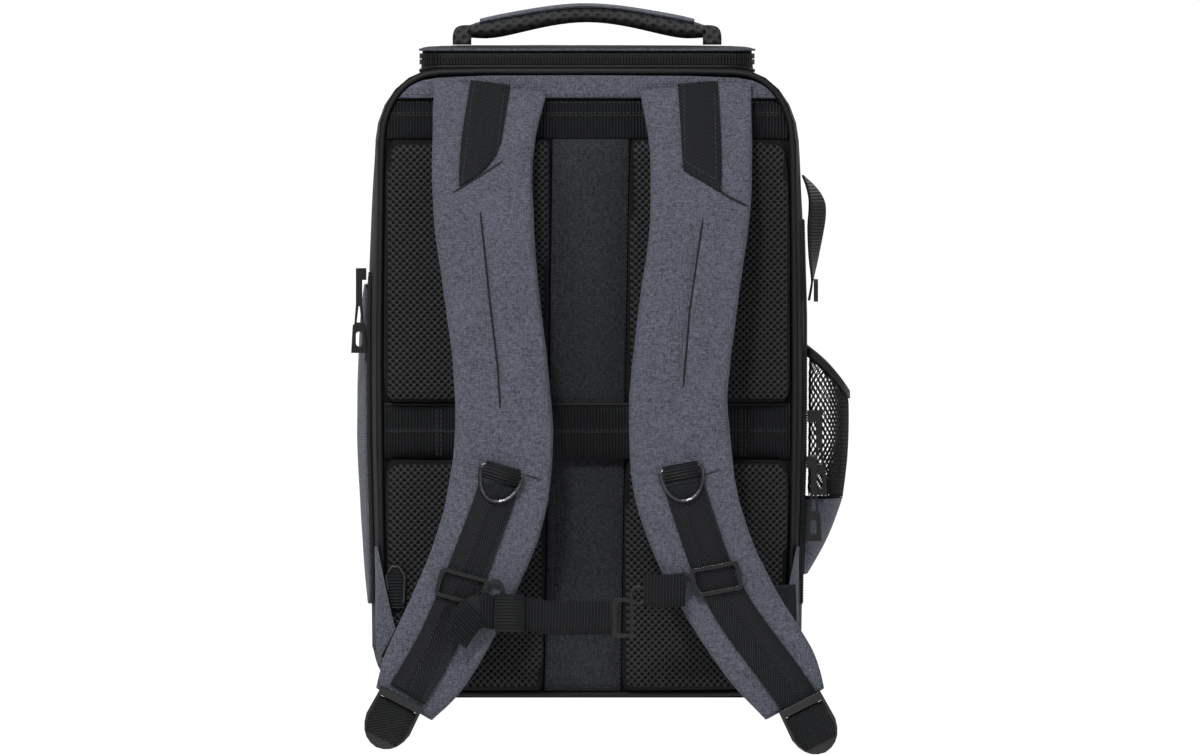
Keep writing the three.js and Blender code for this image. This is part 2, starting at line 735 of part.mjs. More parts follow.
// Webbing sewn flat on a strap. A short table shifts it off the strap's middle, and its lower end is cut
// on a slant: a positive slant leaves the right edge longer.
function strapRibbon(strap, { rows, lift, slant = 0 }) {
  const from = rows[0].at;
  const to = rows[rows.length - 1].at;
  const half = strapWebbing / 2;
  const reach = Math.abs(slant);
  const cutAt = (at) => (reach ? Math.max((at - to + reach) / (2 * reach), 0) * (strapWebbing - 1) : 0);
  return solidThrough(stationsBetween(from, to + reach).map((at) => {
    const shift = strapWidth * readTable(rows, 'at', 'shift', at);
    const left = -half + (slant > 0 ? cutAt(at) : 0);
    const right = half - (slant < 0 ? cutAt(at) : 0);
    const line = (height) => [left, right].map((x) => strapPoint(strap, at, x + shift, height, true));
    return [...line(lift), ...line(lift + webbingThickness).reverse()];
  }));
}

const webbingLift = 0.4;
const ringPlaces = {
  left: { at: 0.619, shift: 0.01, turn: -12 },
  right: { at: 0.617, shift: -0.01, turn: 6 },
};
const slidePlaces = {
  left: { at: 0.812, shift: -0.045, turn: 9, lug: 1, lugRise: 0.24 },
  right: { at: 0.7955, shift: -0.01, turn: -16, lug: -1, lugRise: 0.1 },
};
const upperWebbingRows = {
  left: [{ at: -0.004, shift: 0 }, { at: 0.149, shift: -0.03 }],
  right: [{ at: -0.004, shift: 0.02 }, { at: 0.158, shift: 0 }],
};
const lowerWebbingRows = {
  left: [
    { at: ringPlaces.left.at + 0.026, shift: -0.01 }, { at: 0.72, shift: -0.06 },
    { at: 0.812, shift: -0.045 }, { at: 0.9, shift: -0.02 }, { at: 0.985, shift: -0.02 },
  ],
  right: [
    { at: ringPlaces.right.at + 0.026, shift: 0 }, { at: 0.72, shift: 0.02 },
    { at: 0.8, shift: -0.01 }, { at: 0.9, shift: 0 }, { at: 1.01, shift: 0.05 },
  ],
};
const upperSlant = { left: -0.017, right: 0.017 };

// A frame that lies on a strap: x across it, y up along it, z off its front face
function placeOnStrap(mesh, strap, { at, shift, turn }, lift) {
  const near = strap[Math.round(Math.min(at, 1) * strapStations)];
  const angle = THREE.MathUtils.degToRad(turn);
  const up = near.along.clone().negate();
  const acrossTurned = near.across.clone().multiplyScalar(Math.cos(angle)).addScaledVector(up, Math.sin(angle));
  const upTurned = near.out.clone().cross(acrossTurned);
  const basis = new THREE.Matrix4().makeBasis(acrossTurned, upTurned, near.out);
  mesh.quaternion.setFromRotationMatrix(basis);
  mesh.position.copy(strapPoint(strap, at, shift * strapWidth, lift, true));
  return mesh;
}

// D-ring: a bent wire with a straight bar on top and a bow below, about its bar's middle
function dRing() {
  const half = ringWidth / 2 - ringWire / 2;
  const bend = 3;
  const depth = ringDepth - ringWire - bend;
  const bow = [];
  const bowSteps = 12;
  for (let i = 1; i < bowSteps; i += 1) {
    const angle = (-Math.PI * i) / bowSteps;
    bow.push(new THREE.Vector2(half * Math.cos(angle), -bend + depth * Math.sin(angle)));
  }
  const corner = (sign) => span(0, 3).map((k) => {
    const angle = Math.PI / 2 - (Math.PI / 2) * (k / 3);
    return new THREE.Vector2(sign * (half - bend + bend * Math.cos(angle)), -bend + bend * Math.sin(angle));
  });
  const loop = [...corner(1), ...bow, ...corner(-1).reverse()];
  const sides = 8;
  const radius = ringWire / 2;
  return solidThrough(loop.map((point, i) => {
    const before = loop[(i + loop.length - 1) % loop.length];
    const after = loop[(i + 1) % loop.length];
    const way = after.clone().sub(before).normalize();
    return Array.from({ length: sides }, (_, k) => {
      const angle = (2 * Math.PI * k) / sides;
      const inPlane = radius * Math.cos(angle);
      return vector(point.x - way.y * inPlane, point.y + way.x * inPlane, radius * Math.sin(angle));
    });
  }), true);
}

// Webbing keeper folded round the ring's bar, with its two layers sewn together below it
const keeperFold = 1.4;
const keeperBore = ringWire / 2 + 1.4 * clearance;
const keeperRadius = keeperBore + keeperFold;
function ringKeeper() {
  const shape = new THREE.Shape();
  const width = ringWidth - 2 * ringWire - 2;
  shape.moveTo(-keeperLength, -keeperRadius);
  shape.lineTo(0, -keeperRadius);
  shape.absarc(0, 0, keeperRadius, -Math.PI / 2, Math.PI / 2, false);
  shape.lineTo(-keeperRadius * 0.4, keeperRadius * 0.92);
  shape.lineTo(-keeperLength, -keeperRadius + 2 * keeperFold);
  const bore = new THREE.Path();
  bore.absarc(0, 0, keeperBore, 0, 2 * Math.PI, true);
  shape.holes.push(bore);
  const geometry = plate(shape, -width / 2, width / 2, 5);
  const basis = new THREE.Matrix4().makeBasis(vector(0, 1, 0), vector(0, 0, 1), vector(1, 0, 0));
  return geometry.applyMatrix4(basis);
}

// A flat plastic frame round a window, with a round lug joined to it
const slideWidth = strapWebbing + 2 * slideBar + 1;
function frameWithLug(width, height, lugX, lugY) {
  const shape = roundedRectangle(THREE.Shape, -width / 2, -height / 2, width, height, 3);
  shape.holes.push(roundedRectangle(
    THREE.Path, -width / 2 + slideBar, -height / 2 + slideBar, width - 2 * slideBar, height - 2 * slideBar, 1,
  ));
  const lug = new THREE.Shape();
  lug.absarc(lugX, lugY, slideLug, 0, 2 * Math.PI, false);
  const eye = new THREE.Path();
  eye.absarc(lugX, lugY, slideLug - slideBar * 0.8, 0, 2 * Math.PI, true);
  lug.holes.push(eye);
  const frameSolid = toManifold(plate(shape, 0, slideThickness, 2));
  return fromManifold(frameSolid.add(toManifold(plate(lug, 0, slideThickness, 6))));
}
const lugOut = slideWidth / 2 + slideLug - slideBar * 0.6;

// Ladder lock: a frame with two slots and a rounded thumb tab at its lower end
const lockWidth = strapWebbing + 5;
function ladderLock() {
  const half = lockWidth / 2;
  const top = 5;
  const shape = new THREE.Shape();
  shape.moveTo(-half, top);
  shape.lineTo(-half - 0.8, top - lockLength * 0.55);
  shape.quadraticCurveTo(-half * 0.86, top - lockLength * 0.97, 0, top - lockLength);
  shape.quadraticCurveTo(half * 0.86, top - lockLength * 0.97, half + 0.8, top - lockLength * 0.55);
  shape.lineTo(half, top);
  const slot = (bottom, height) => roundedRectangle(
    THREE.Path, -strapWebbing / 2 - clearance, bottom, strapWebbing + 2 * clearance, height, 0.8,
  );
  shape.holes.push(slot(top - lockLength * 0.36, lockLength * 0.21));
  shape.holes.push(slot(top - lockLength * 0.62, lockLength * 0.16));
  return plate(shape, 0, lockThickness, 5);
}

// Webbing threaded over the lock's middle bar and laid down its tab
const lockWebbingRows = [
  { up: -2.2, out: -0.2 }, { up: -4.5, out: 3.4 }, { up: -9, out: 4.3 }, { up: -13.5, out: 3.8 },
  { up: -17, out: 3.9 }, { up: -24, out: 4.1 }, { up: -30, out: 3.8 },
];
function lockWebbing() {
  const half = strapWebbing / 2;
  return solidThrough(lockWebbingRows.map((row, i) => {
    const narrow = i === lockWebbingRows.length - 1 ? half * 0.8 : half;
    const thick = webbingThickness;
    return [
      vector(-narrow, row.up, row.out), vector(narrow, row.up, row.out),
      vector(narrow, row.up, row.out + thick), vector(-narrow, row.up, row.out + thick),
    ];
  }));
}

const lockPlaces = {
  left: { at: 1, shift: -0.05, turn: 3 },
  right: { at: 1.008, shift: 0.05, turn: -1 },
};
const ringLift = keeperRadius + 1;
const lockLift = webbingLift + webbingThickness + clearance;
for (const side of ['left', 'right']) {
  const strap = straps[side];
  addPiece(`shoulder_strap_${side}`, strapBody(strap), cloth(heatherGrey));
  addPiece(`strap_mesh_${side}`, strapMesh(strap), cloth(meshBlack));
  const upper = { rows: upperWebbingRows[side], lift: webbingLift, slant: upperSlant[side] };
  addPiece(`upper_webbing_${side}`, strapRibbon(strap, upper), cloth(webbingBlack));
  const lower = { rows: lowerWebbingRows[side], lift: webbingLift };
  addPiece(`lower_webbing_${side}`, strapRibbon(strap, lower), cloth(webbingBlack));
  const ring = addPiece(`d_ring_${side}`, dRing(), gunmetal());
  placeOnStrap(ring, strap, ringPlaces[side], ringLift);
  const keeper = addPiece(`ring_keeper_${side}`, ringKeeper(), cloth(webbingBlack));
  placeOnStrap(keeper, strap, ringPlaces[side], ringLift);
  const { lug, lugRise } = slidePlaces[side];
  const slideShape = frameWithLug(slideWidth, slideHeight, lug * lugOut, lugRise * slideHeight);
  const slide = addPiece(`sternum_slide_${side}`, slideShape, plastic());
  placeOnStrap(slide, strap, slidePlaces[side], lockLift);
  const lockPlace = lockPlaces[side];
  const lock = addPiece(`ladder_lock_${side}`, ladderLock(), plastic());
  placeOnStrap(lock, strap, lockPlace, lockLift);
  const threaded = addPiece(`lock_webbing_${side}`, lockWebbing(), cloth(webbingBlack));
  placeOnStrap(threaded, strap, lockPlace, lockLift);
}

// A band of webbing along a curve. Each row gives a point and which way the band's width runs there.
function bandThrough(rows, width, thickness, steps) {
  const path = new THREE.CatmullRomCurve3(rows.map((row) => row.point), false, 'centripetal');
  return solidThrough(span(0, steps).map((i) => {
    const place = (i / steps) * (rows.length - 1);
    const low = Math.min(Math.floor(place), rows.length - 2);
    const wide = rows[low].wide.clone().lerp(rows[low + 1].wide, place - low);
    const along = path.getTangent(i / steps);
    wide.addScaledVector(along, -wide.dot(along)).normalize();
    const out = along.clone().cross(wide);
    const at = (side, face) => path.getPoint(i / steps)
      .addScaledVector(wide, (side * width) / 2)
      .addScaledVector(out, (face * thickness) / 2);
    return [at(-1, -1), at(1, -1), at(1, 1), at(-1, 1)];
  }));
}

// Side wings: cloth triangles sewn round the lower corners, and the anchor webbing that they hold
const wingThickness = 1.6;
const wingRows = [
  { rise: 0.24, reach: 1 },
  { rise: 0.19, reach: 5 },
  { rise: 0.14, reach: 10 },
  { rise: 0.09, reach: 16 },
  { rise: 0.05, reach: 18 },
];
const wingSeam = 9;
const wingFront = padThickness + 3.6;
function sideWing(sign) {
  return solidThrough(wingRows.map((row) => {
    const z = row.rise * bodyHeight;
    const side = sideAt(wingSeam, z) + 2 * clearance;
    const t = wingThickness;
    const line = [
      [side, wingSeam], [side, -2 * pipingRadius - 2 * clearance], [side - row.reach, -wingFront],
      [side - row.reach, -wingFront - t], [side + t, -2 * pipingRadius - clearance - t], [side + t, wingSeam],
    ];
    return line.map(([x, y]) => vector(sign * x, y, z));
  }));
}
const lockFrame = (side) => {
  const mesh = bag.getObjectByName(`ladder_lock_${side}`);
  mesh.updateMatrix();
  return (across, up, out) => vector(across, up, out).applyMatrix4(mesh.matrix);
};
const onWing = wingFront + 3.5;
const anchorStarts = {
  left: [
    { in: 8, out: -0.5, rise: 0.09, wide: vector(0.4, 0, 1) },
    { in: 17, out: 2.5, rise: 0.08, wide: vector(0.7, 0, 1) },
  ],
  right: [
    { in: 13, out: 0, rise: 0.18, wide: vector(-1, 0, 0) },
    { in: 12, out: 0, rise: 0.13, wide: vector(-1, 0, 0) },
  ],
};
const anchorBends = { left: 20, right: 34 };
for (const [side, sign] of [['left', -1], ['right', 1]]) {
  addPiece(`side_wing_${side}`, sideWing(sign), cloth(heatherGrey));
  const fromLock = lockFrame(side);
  const across = fromLock(-sign, 0, 0).sub(fromLock(0, 0, 0));
  const clearOfStrap = -(strapThickness + strapMeshThickness + 4);
  const rows = [
    ...anchorStarts[side].map(({ in: inward, out, rise, wide }) => {
      const z = rise * bodyHeight;
      return { point: vector(sign * (sideAt(wingSeam, z) - inward), -onWing - out, z), wide };
    }),
    { point: fromLock(0, anchorBends[side], clearOfStrap), wide: across.clone().add(vector(0, 0, 0.3)) },
    { point: fromLock(0, -11, clearOfStrap), wide: across },
    { point: fromLock(0, -23, clearOfStrap * 0.45), wide: across },
    { point: fromLock(0, -31, -1.6), wide: across },
  ];
  addPiece(`anchor_webbing_${side}`, bandThrough(rows, anchorWidth, webbingThickness, 14), cloth(webbingBlack));
}

// Sternum strap: a webbing that ends in a loose tail, its elastic keeper, a hooked buckle and the webbing it
// hooks to
const sternumFront = yokeThickness + strapStand + strapThickness + slideThickness + 7.1;
const upright = vector(0, 0, 1);
const sternumRise = 0.142 * bodyHeight;
const buckleX = 0.165 * strapSpread;
const sternumLeftRows = [
  { point: vector(buckleX - 9, -sternumFront - 0.5, sternumRise - 5), wide: upright },
  { point: vector(0.03 * strapSpread, -sternumFront - 2, sternumRise - 5), wide: upright },
  { point: vector(-0.15 * strapSpread, -sternumFront - 1.5, sternumRise - 5.5), wide: upright },
  { point: vector(-0.28 * strapSpread, -sternumFront, sternumRise - 2), wide: upright },
  { point: vector(-0.43 * strapSpread, -sternumFront, sternumRise - 1), wide: upright },
  { point: vector(-0.5 * strapSpread, -sternumFront - 1, sternumRise), wide: vector(-0.25, 0, 1) },
  { point: vector(-0.56 * strapSpread, -sternumFront - 3, sternumRise - 8), wide: vector(-0.8, -0.2, 0.7) },
  { point: vector(-0.6 * strapSpread, -sternumFront - 7, sternumRise - 22), wide: vector(-0.6, -0.6, 0.3) },
];
addPiece('sternum_webbing_left', bandThrough(sternumLeftRows, sternumWidth, webbingThickness, 20),
  cloth(webbingBlack));
const keeperReach = 22;
const keeperWall = 1.2;
const keeperDeep = 5.6;
const keeperHigh = sternumWidth + 4 * clearance;
const keeperShape = roundedRectangle(
  THREE.Shape, -keeperDeep / 2 - keeperWall, -keeperHigh / 2 - keeperWall,
  keeperDeep + 2 * keeperWall, keeperHigh + 2 * keeperWall, 1.6,
);
keeperShape.holes.push(roundedRectangle(
  THREE.Path, -keeperDeep / 2, -keeperHigh / 2, keeperDeep, keeperHigh, 0.8,
));
const sternumKeeper = addPiece('sternum_keeper', plate(keeperShape, 0, keeperReach, 3), cloth(webbingBlack));
sternumKeeper.quaternion.setFromRotationMatrix(new THREE.Matrix4().makeBasis(
  vector(0, 1, 0), vector(0, 0, 1), vector(1, 0, 0),
));
sternumKeeper.position.set(-0.42 * strapSpread, -sternumFront, sternumRise - 1.5);
const faceOut = new THREE.Matrix4().makeBasis(vector(1, 0, 0), vector(0, 0, 1), vector(0, -1, 0));
const buckleWidth = 16;
const buckleHeight = sternumWidth + 5;
const buckleShape = frameWithLug(buckleWidth, buckleHeight, buckleWidth * 0.75, buckleHeight / 2 + 2);
const buckle = addPiece('sternum_buckle', buckleShape, plastic());
buckle.quaternion.setFromRotationMatrix(faceOut);
buckle.position.set(buckleX, -sternumFront + slideThickness / 2, sternumRise - 5);
const sternumRightRows = [
  { point: vector(0.262 * strapSpread, -sternumFront - 2.5, sternumRise + 16), wide: upright },
  { point: vector(0.35 * strapSpread, -sternumFront - 1.6, sternumRise + 15), wide: upright },
  { point: vector(0.445 * strapSpread, -sternumFront + 3.1, sternumRise + 16), wide: upright },
];
addPiece('sternum_webbing_right', bandThrough(sternumRightRows, sternumWidth, webbingThickness, 6),
  cloth(webbingBlack));

// Rounded tongue of doubled webbing beside the left wing
const tongueRows = [
  { rise: 0.142, left: -0.894, right: -0.836 },
  { rise: 0.17, left: -0.915, right: -0.83 },
  { rise: 0.198, left: -0.925, right: -0.83 },
  { rise: 0.212, left: -0.9, right: -0.85 },
];
addPiece('wing_tab_left', solidThrough(tongueRows.map((row) => {
  const near = -(padThickness + clearance);
  const far = near - 2 * webbingThickness * 0.8;
  const z = row.rise * bodyHeight;
  const [left, right] = [row.left * strapSpread, row.right * strapSpread];
  return [vector(left, near, z), vector(right, near, z), vector(right, far, z), vector(left, far, z)];
})), cloth(webbingBlack));

// A strip or crowned pocket sewn on a side wall: rows across it give its share and its swell
function sidePatch(sign, { back, depth, bottom, height, thickness, crown, lift, columns }, steps) {
  const ys = span(0, columns).map((k) => k / columns);
  const swell = (share) => Math.sin(Math.PI * share) ** 0.5;
  return solidThrough(span(0, steps).map((i) => {
    const rise = i / steps;
    const z = bottom + height * rise;
    const line = (out) => ys.map((share) => {
      const y = back + depth * share;
      const proud = out * (thickness + crown * swell(rise) * swell(share));
      return vector(sign * (sideAt(y, z) + lift + proud), y, z);
    });
    return [...line(0), ...line(1).reverse()];
  }));
}
const zipBack = 18;
const zipLift = 2 * clearance;
const patchBottom = 70;
const zipPlate = {
  back: zipBack, depth: zipWidth, bottom: patchBottom, thickness: zipThickness, crown: 0, lift: zipLift,
  columns: 1,
};
const pocketBack = zipBack + zipWidth + 2;
addPiece('zip_left', sidePatch(-1, { ...zipPlate, height: zipHeight }, 8), cloth(pipingBlack));
addPiece('zip_right', sidePatch(1, { ...zipPlate, height: rightZipHeight }, 8), cloth(pipingBlack));
addPiece('side_pocket_left', sidePatch(-1, {
  back: pocketBack, depth: sidePocketDepth, bottom: patchBottom, height: sidePocketHeight,
  thickness: pocketWall, crown: 5, lift: 4 * clearance, columns: 4,
}, 8), cloth(heatherGrey));

// Zip pull: slider, metal bar, two cord legs and a moulded grip with a window
function zipPull(reach) {
  const bar = pullLength * 0.36;
  const legs = pullLength * 0.62;
  const half = 6;
  const shape = new THREE.Shape();
  const outline = [
    [-reach, 6], [2.4, 6], [2.4, -bar], [3.6, -legs], [half * 0.8, -legs - 1], [half, -pullLength],
    [-half, -pullLength], [-half * 0.8, -legs - 1], [-3.6, -legs], [-2.4, -bar], [-2.4, -3], [-reach, -3],
  ];
  shape.moveTo(outline[0][0], outline[0][1]);
  outline.slice(1).forEach(([x, y]) => shape.lineTo(x, y));
  const loop = new THREE.Path();
  loop.moveTo(-0.4, -bar - 2);
  loop.lineTo(-1.8, -legs + 1);
  loop.lineTo(1.8, -legs + 1);
  loop.lineTo(0.4, -bar - 2);
  shape.holes.push(loop);
  shape.holes.push(roundedRectangle(THREE.Path, -2.4, -pullLength + 5, 4.8, 11, 2.3));
  return plate(shape, -1.8, 1.8, 3);
}
const pulls = [
  { name: 'zip_pull_left', sign: -1, rise: 0.669, out: 5.5, back: zipBack + 4, gap: 5.5 * clearance },
  { name: 'zip_pull_right_upper', sign: 1, rise: 0.443, out: 9, back: zipBack + 5, gap: 1.6 * clearance },
  { name: 'zip_pull_right_lower', sign: 1, rise: 0.37, out: 5.5, back: zipBack - 1, gap: 4 * clearance },
];
for (const { name, sign, rise, out, back, gap } of pulls) {
  const z = rise * bodyHeight;
  const seat = sideAt(back, z) + zipLift + zipThickness + gap;
  const pull = addPiece(name, zipPull(out), plastic());
  const basis = new THREE.Matrix4().makeBasis(vector(sign, 0, 0), vector(0, 0, 1), vector(0, -sign, 0));
  pull.quaternion.setFromRotationMatrix(basis);
  pull.position.set(sign * (seat + out), back, z);
}

// Compression strap on the right side, standing off the wall and turned a little in its middle, with a plain
// slide at its lower end
const sideStrapRows = [
  { rise: 0.829, out: 1.8, turn: 0 }, { rise: 0.808, out: 8, turn: 16 }, { rise: 0.783, out: 12, turn: 30 },
  { rise: 0.75, out: 10.5, turn: 30 }, { rise: 0.7, out: 8, turn: 16 }, { rise: 0.66, out: 6.5, turn: 0 },
  { rise: 0.63, out: 3.6, turn: 0 },
];
const sideStrapBack = 31;
addPiece('side_strap_right', bandThrough(sideStrapRows.map((row) => ({
  point: vector(sideAt(sideStrapBack, row.rise * bodyHeight) + row.out, sideStrapBack, row.rise * bodyHeight),
  wide: vector(Math.sin(THREE.MathUtils.degToRad(row.turn)), Math.cos(THREE.MathUtils.degToRad(row.turn)), 0),
})), anchorWidth, webbingThickness, 12), cloth(webbingBlack));
const sideSlideWidth = anchorWidth + 4;
const sideSlideHeight = 17;
const sideSlideBar = 2.5;
const sideSlideThickness = 3;
const sideSlideShape = roundedRectangle(
  THREE.Shape, -sideSlideWidth / 2, -sideSlideHeight / 2, sideSlideWidth, sideSlideHeight, 2,
);
sideSlideShape.holes.push(roundedRectangle(
  THREE.Path, -sideSlideWidth / 2 + sideSlideBar, -sideSlideHeight / 2 + sideSlideBar,
  sideSlideWidth - 2 * sideSlideBar, sideSlideHeight - 2 * sideSlideBar, 1,
));
const sideSlide = addPiece('side_buckle_right', plate(sideSlideShape, 0, sideSlideThickness, 2), plastic());
sideSlide.quaternion.setFromRotationMatrix(new THREE.Matrix4().makeBasis(
  vector(0, 1, 0), vector(0, 0, 1), vector(1, 0, 0),
));
const sideSlideRise = 0.646 * bodyHeight;
sideSlide.position.set(sideAt(sideStrapBack, sideSlideRise) + 7.6, sideStrapBack, sideSlideRise);

// Bottle pocket: a cloth base, a net above it and an elastic hem round its slanted mouth
const pocketRows = [
  { rise: 0, out: 0.04 }, { rise: 0.085, out: 0.34 }, { rise: 0.2, out: 0.66 }, { rise: 0.33, out: 0.88 },
  { rise: 0.5, out: 0.99 }, { rise: 0.72, out: 1 }, { rise: 1, out: 0.95 },
];
const pocketStart = pocketBack + 4;
const mouthSlant = 34;
function pocketPoint(around, z, inner) {
  const angle = Math.PI * around;
  const rise = (z - pocketRise) / pocketHeight;
  const out = readTable(pocketRows, 'rise', 'out', rise) * pocketBulge;
  const half = pocketDepth / 2 - inner;
  const y = pocketStart + pocketDepth / 2 - half * Math.cos(angle);
  const seat = sideAt(y, z) + zipLift;
  return vector(seat + Math.max(out - inner, 0.2) * Math.sin(angle) ** 0.7 + (pocketWall - inner), y, z);
}
function pocketShell(levels, wallInner, wallOuter) {
  return solidThrough(span(0, 10).map((i) => {
    const around = i / 10;
    const line = (inner) => levels.map((level) => pocketPoint(around, level(around), inner));
    return [...line(wallInner), ...line(wallOuter).reverse()];
  }));
}
const mouthAt = (around) => pocketRise + pocketHeight - mouthSlant * Math.sin(Math.PI * around);
const baseTop = pocketRise + pocketBaseHeight;
const hemHeight = 6;
const between = (low, high, share) => (around) => low(around) + (high(around) - low(around)) * share;
const pocketFloor = () => pocketRise;
const seamBelow = () => baseTop - clearance;
const seamAbove = () => baseTop;
const hemBelow = (around) => mouthAt(around) - hemHeight;
const baseLevels = [0, 0.25, 0.55, 1].map((share) => between(pocketFloor, seamBelow, share));
const netTop = (around) => hemBelow(around) - clearance;
const netLevels = [0, 0.4, 0.75, 1].map((share) => between(seamAbove, netTop, share));
addPiece('bottle_pocket_base', pocketShell(baseLevels, pocketWall, 0), cloth(heatherGrey));
addPiece('bottle_pocket_net', pocketShell(netLevels, pocketWall * 0.8, pocketWall * 0.2), cloth(meshBlack));
addPiece('bottle_pocket_hem', pocketShell([hemBelow, mouthAt], pocketWall, -0.6), cloth(webbingBlack));

export default bag;
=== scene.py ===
# %% [markdown]
# # Camera backpack: cloth, webbing, mesh and fittings
# The CAD frame gives every form and place. This lesson turns it into cloth: each soft piece is rounded off,
# given its weave, seams and stitches, and each hard fitting gets its moulded or plated finish.
# Lengths in the tables are in millimetres from the middle of the bag (x) and above its base (up).

# %% Frame and tools
import bmesh
import bpy
import math
from mathutils import Matrix, Vector, noise
from mathutils.bvhtree import BVHTree


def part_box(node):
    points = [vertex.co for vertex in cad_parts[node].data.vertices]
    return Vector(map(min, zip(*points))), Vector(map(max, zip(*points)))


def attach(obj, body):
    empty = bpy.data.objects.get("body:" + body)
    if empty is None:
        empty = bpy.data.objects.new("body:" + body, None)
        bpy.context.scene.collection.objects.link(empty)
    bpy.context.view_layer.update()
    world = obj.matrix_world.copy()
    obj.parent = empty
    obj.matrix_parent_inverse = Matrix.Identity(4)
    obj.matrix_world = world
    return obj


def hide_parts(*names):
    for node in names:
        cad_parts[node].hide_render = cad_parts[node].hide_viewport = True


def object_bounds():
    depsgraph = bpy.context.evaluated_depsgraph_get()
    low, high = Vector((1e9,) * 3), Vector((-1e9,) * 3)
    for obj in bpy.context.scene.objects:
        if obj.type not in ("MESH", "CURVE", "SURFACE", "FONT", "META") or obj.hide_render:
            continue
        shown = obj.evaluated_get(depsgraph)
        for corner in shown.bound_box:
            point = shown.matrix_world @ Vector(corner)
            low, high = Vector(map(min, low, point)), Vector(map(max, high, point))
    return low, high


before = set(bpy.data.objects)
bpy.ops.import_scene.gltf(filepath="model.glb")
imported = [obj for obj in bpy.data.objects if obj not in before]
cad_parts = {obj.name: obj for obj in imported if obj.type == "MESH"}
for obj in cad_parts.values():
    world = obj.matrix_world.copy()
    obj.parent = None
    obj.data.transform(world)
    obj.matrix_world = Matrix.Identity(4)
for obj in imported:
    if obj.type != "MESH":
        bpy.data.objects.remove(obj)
cad_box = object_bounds()
MM = 0.001
BODY = "bag"
BASE_Z = -0.50895  # the base of the bag, below the grip that the bag hangs from
scene = bpy.context.scene
print("CAD box", [round(v, 3) for corner in cad_box for v in corner])


# %% Helpers for colours and nodes
def linear(code):
    """An sRGB hex colour as linear red, green, blue and alpha."""
    parts = [int(code[i:i + 2], 16) / 255 for i in (1, 3, 5)]
    return [v / 12.92 if v <= 0.04045 else ((v + 0.055) / 1.055) ** 2.4 for v in parts] + [1.0]


def add(tree, kind, settings=None, values=None, links=None):
    """Adds one node with its settings, its constant inputs and its linked inputs."""
    made = tree.nodes.new(kind)
    for name, value in (settings or {}).items():
        setattr(made, name, value)
    for name, value in (values or {}).items():
        made.inputs[name].default_value = value
    for name, source in (links or {}).items():
        tree.links.new(source, made.inputs[name])
    return made


def new_material(name):
    """An empty material with its Principled shader joined to the output."""
    material = bpy.data.materials.new(name)
    material.use_nodes = True
    tree = material.node_tree
    return material, tree, tree.nodes["Principled BSDF"]


# %% [markdown]
# ## Camera, floor and light
# The photo looks almost square-on at the harness side, from far off, so a long lens fifteen metres away keeps
# the bag's sides parallel. The light is broad and soft, with a little more from the upper left, so the black
# mesh keeps its relief and the straps show their rounded edges. The studio is pale grey all round and white
# behind the bag: white on every side would fill each shadow and wash the black mesh out.

# %% Camera
SCALE = 0.75 * MM  # one pixel of the picture at the straps
PICTURE_WIDTH = 1200
SENSOR_WIDTH = 36
DISTANCE = 15.0
LOOK_DOWN = math.radians(1.0)
# the picture's centre: pixels right of the bag's middle and above its base, on the plane of the straps
CENTRE_RIGHT, CENTRE_UP, STRAP_PLANE = 13, 322.5, -0.09
camera_data = bpy.data.cameras.new("Camera")
camera = bpy.data.objects.new("Camera", camera_data)
scene.collection.objects.link(camera)
scene.camera = camera
camera_data.sensor_width = SENSOR_WIDTH
camera_data.lens = SENSOR_WIDTH * DISTANCE / (PICTURE_WIDTH * SCALE)
camera_data.clip_end = 50
aim = Vector((CENTRE_RIGHT * SCALE, STRAP_PLANE, BASE_Z + CENTRE_UP * SCALE))
camera.location = aim + Vector((0, -DISTANCE * math.cos(LOOK_DOWN), DISTANCE * math.sin(LOOK_DOWN)))
camera.rotation_euler = (math.pi / 2 - LOOK_DOWN, 0, 0)
print("lens", round(camera_data.lens, 1), "mm")


# %% Floor and studio light
FLOOR_HALF = 1.0
FLOOR_DROP = 0.06  # the bag hangs this far above the floor


def plane(name, half, z):
    corners = [(-half, -half, z), (half, -half, z), (half, half, z), (-half, half, z)]
    mesh = bpy.data.meshes.new(name)
    mesh.from_pydata(corners, [], [(0, 1, 2, 3)])
    made = bpy.data.objects.new(name, mesh)
    scene.collection.objects.link(made)
    return made


def area_light(name, place, size, power, colour):
    data = bpy.data.lights.new(name, "AREA")
    data.size = size
    data.energy = power
    data.color = linear(colour)[:3]
    light = bpy.data.objects.new(name, data)
    scene.collection.objects.link(light)
    light.location = place
    way = aim - Vector(place)
    light.rotation_euler = way.to_track_quat("-Z", "Y").to_euler()
    return light


floor = plane("floor", FLOOR_HALF, cad_box[0].z - FLOOR_DROP)
paper, tree, shader = new_material("pale paper")
shader.inputs["Base Color"].default_value = linear("#ffffff")
shader.inputs["Roughness"].default_value = 0.9
floor.data.materials.append(paper)
area_light("key", (-1.5, -2.3, 2.0), 1.6, 44, "#fffdf8")
area_light("fill", (2.3, -2.4, 0.4), 1.8, 11, "#f6f9ff")
area_light("rim", (0.4, 1.7, 1.6), 1.6, 26, "#ffffff")
# a small lamp above the camera: its image is the bright line on the plastic and the rings
area_light("glint", (-0.5, -2.2, 1.7), 0.3, 40, "#ffffff")
world = bpy.data.worlds.new("Studio")
scene.world = world
world.use_nodes = True
sky = world.node_tree
sky.nodes["Background"].inputs["Color"].default_value = linear("#ffffff")
looking = add(sky, "ShaderNodeTexCoord").outputs["Generated"]
way = add(sky, "ShaderNodeSeparateXYZ", links={"Vector": looking})
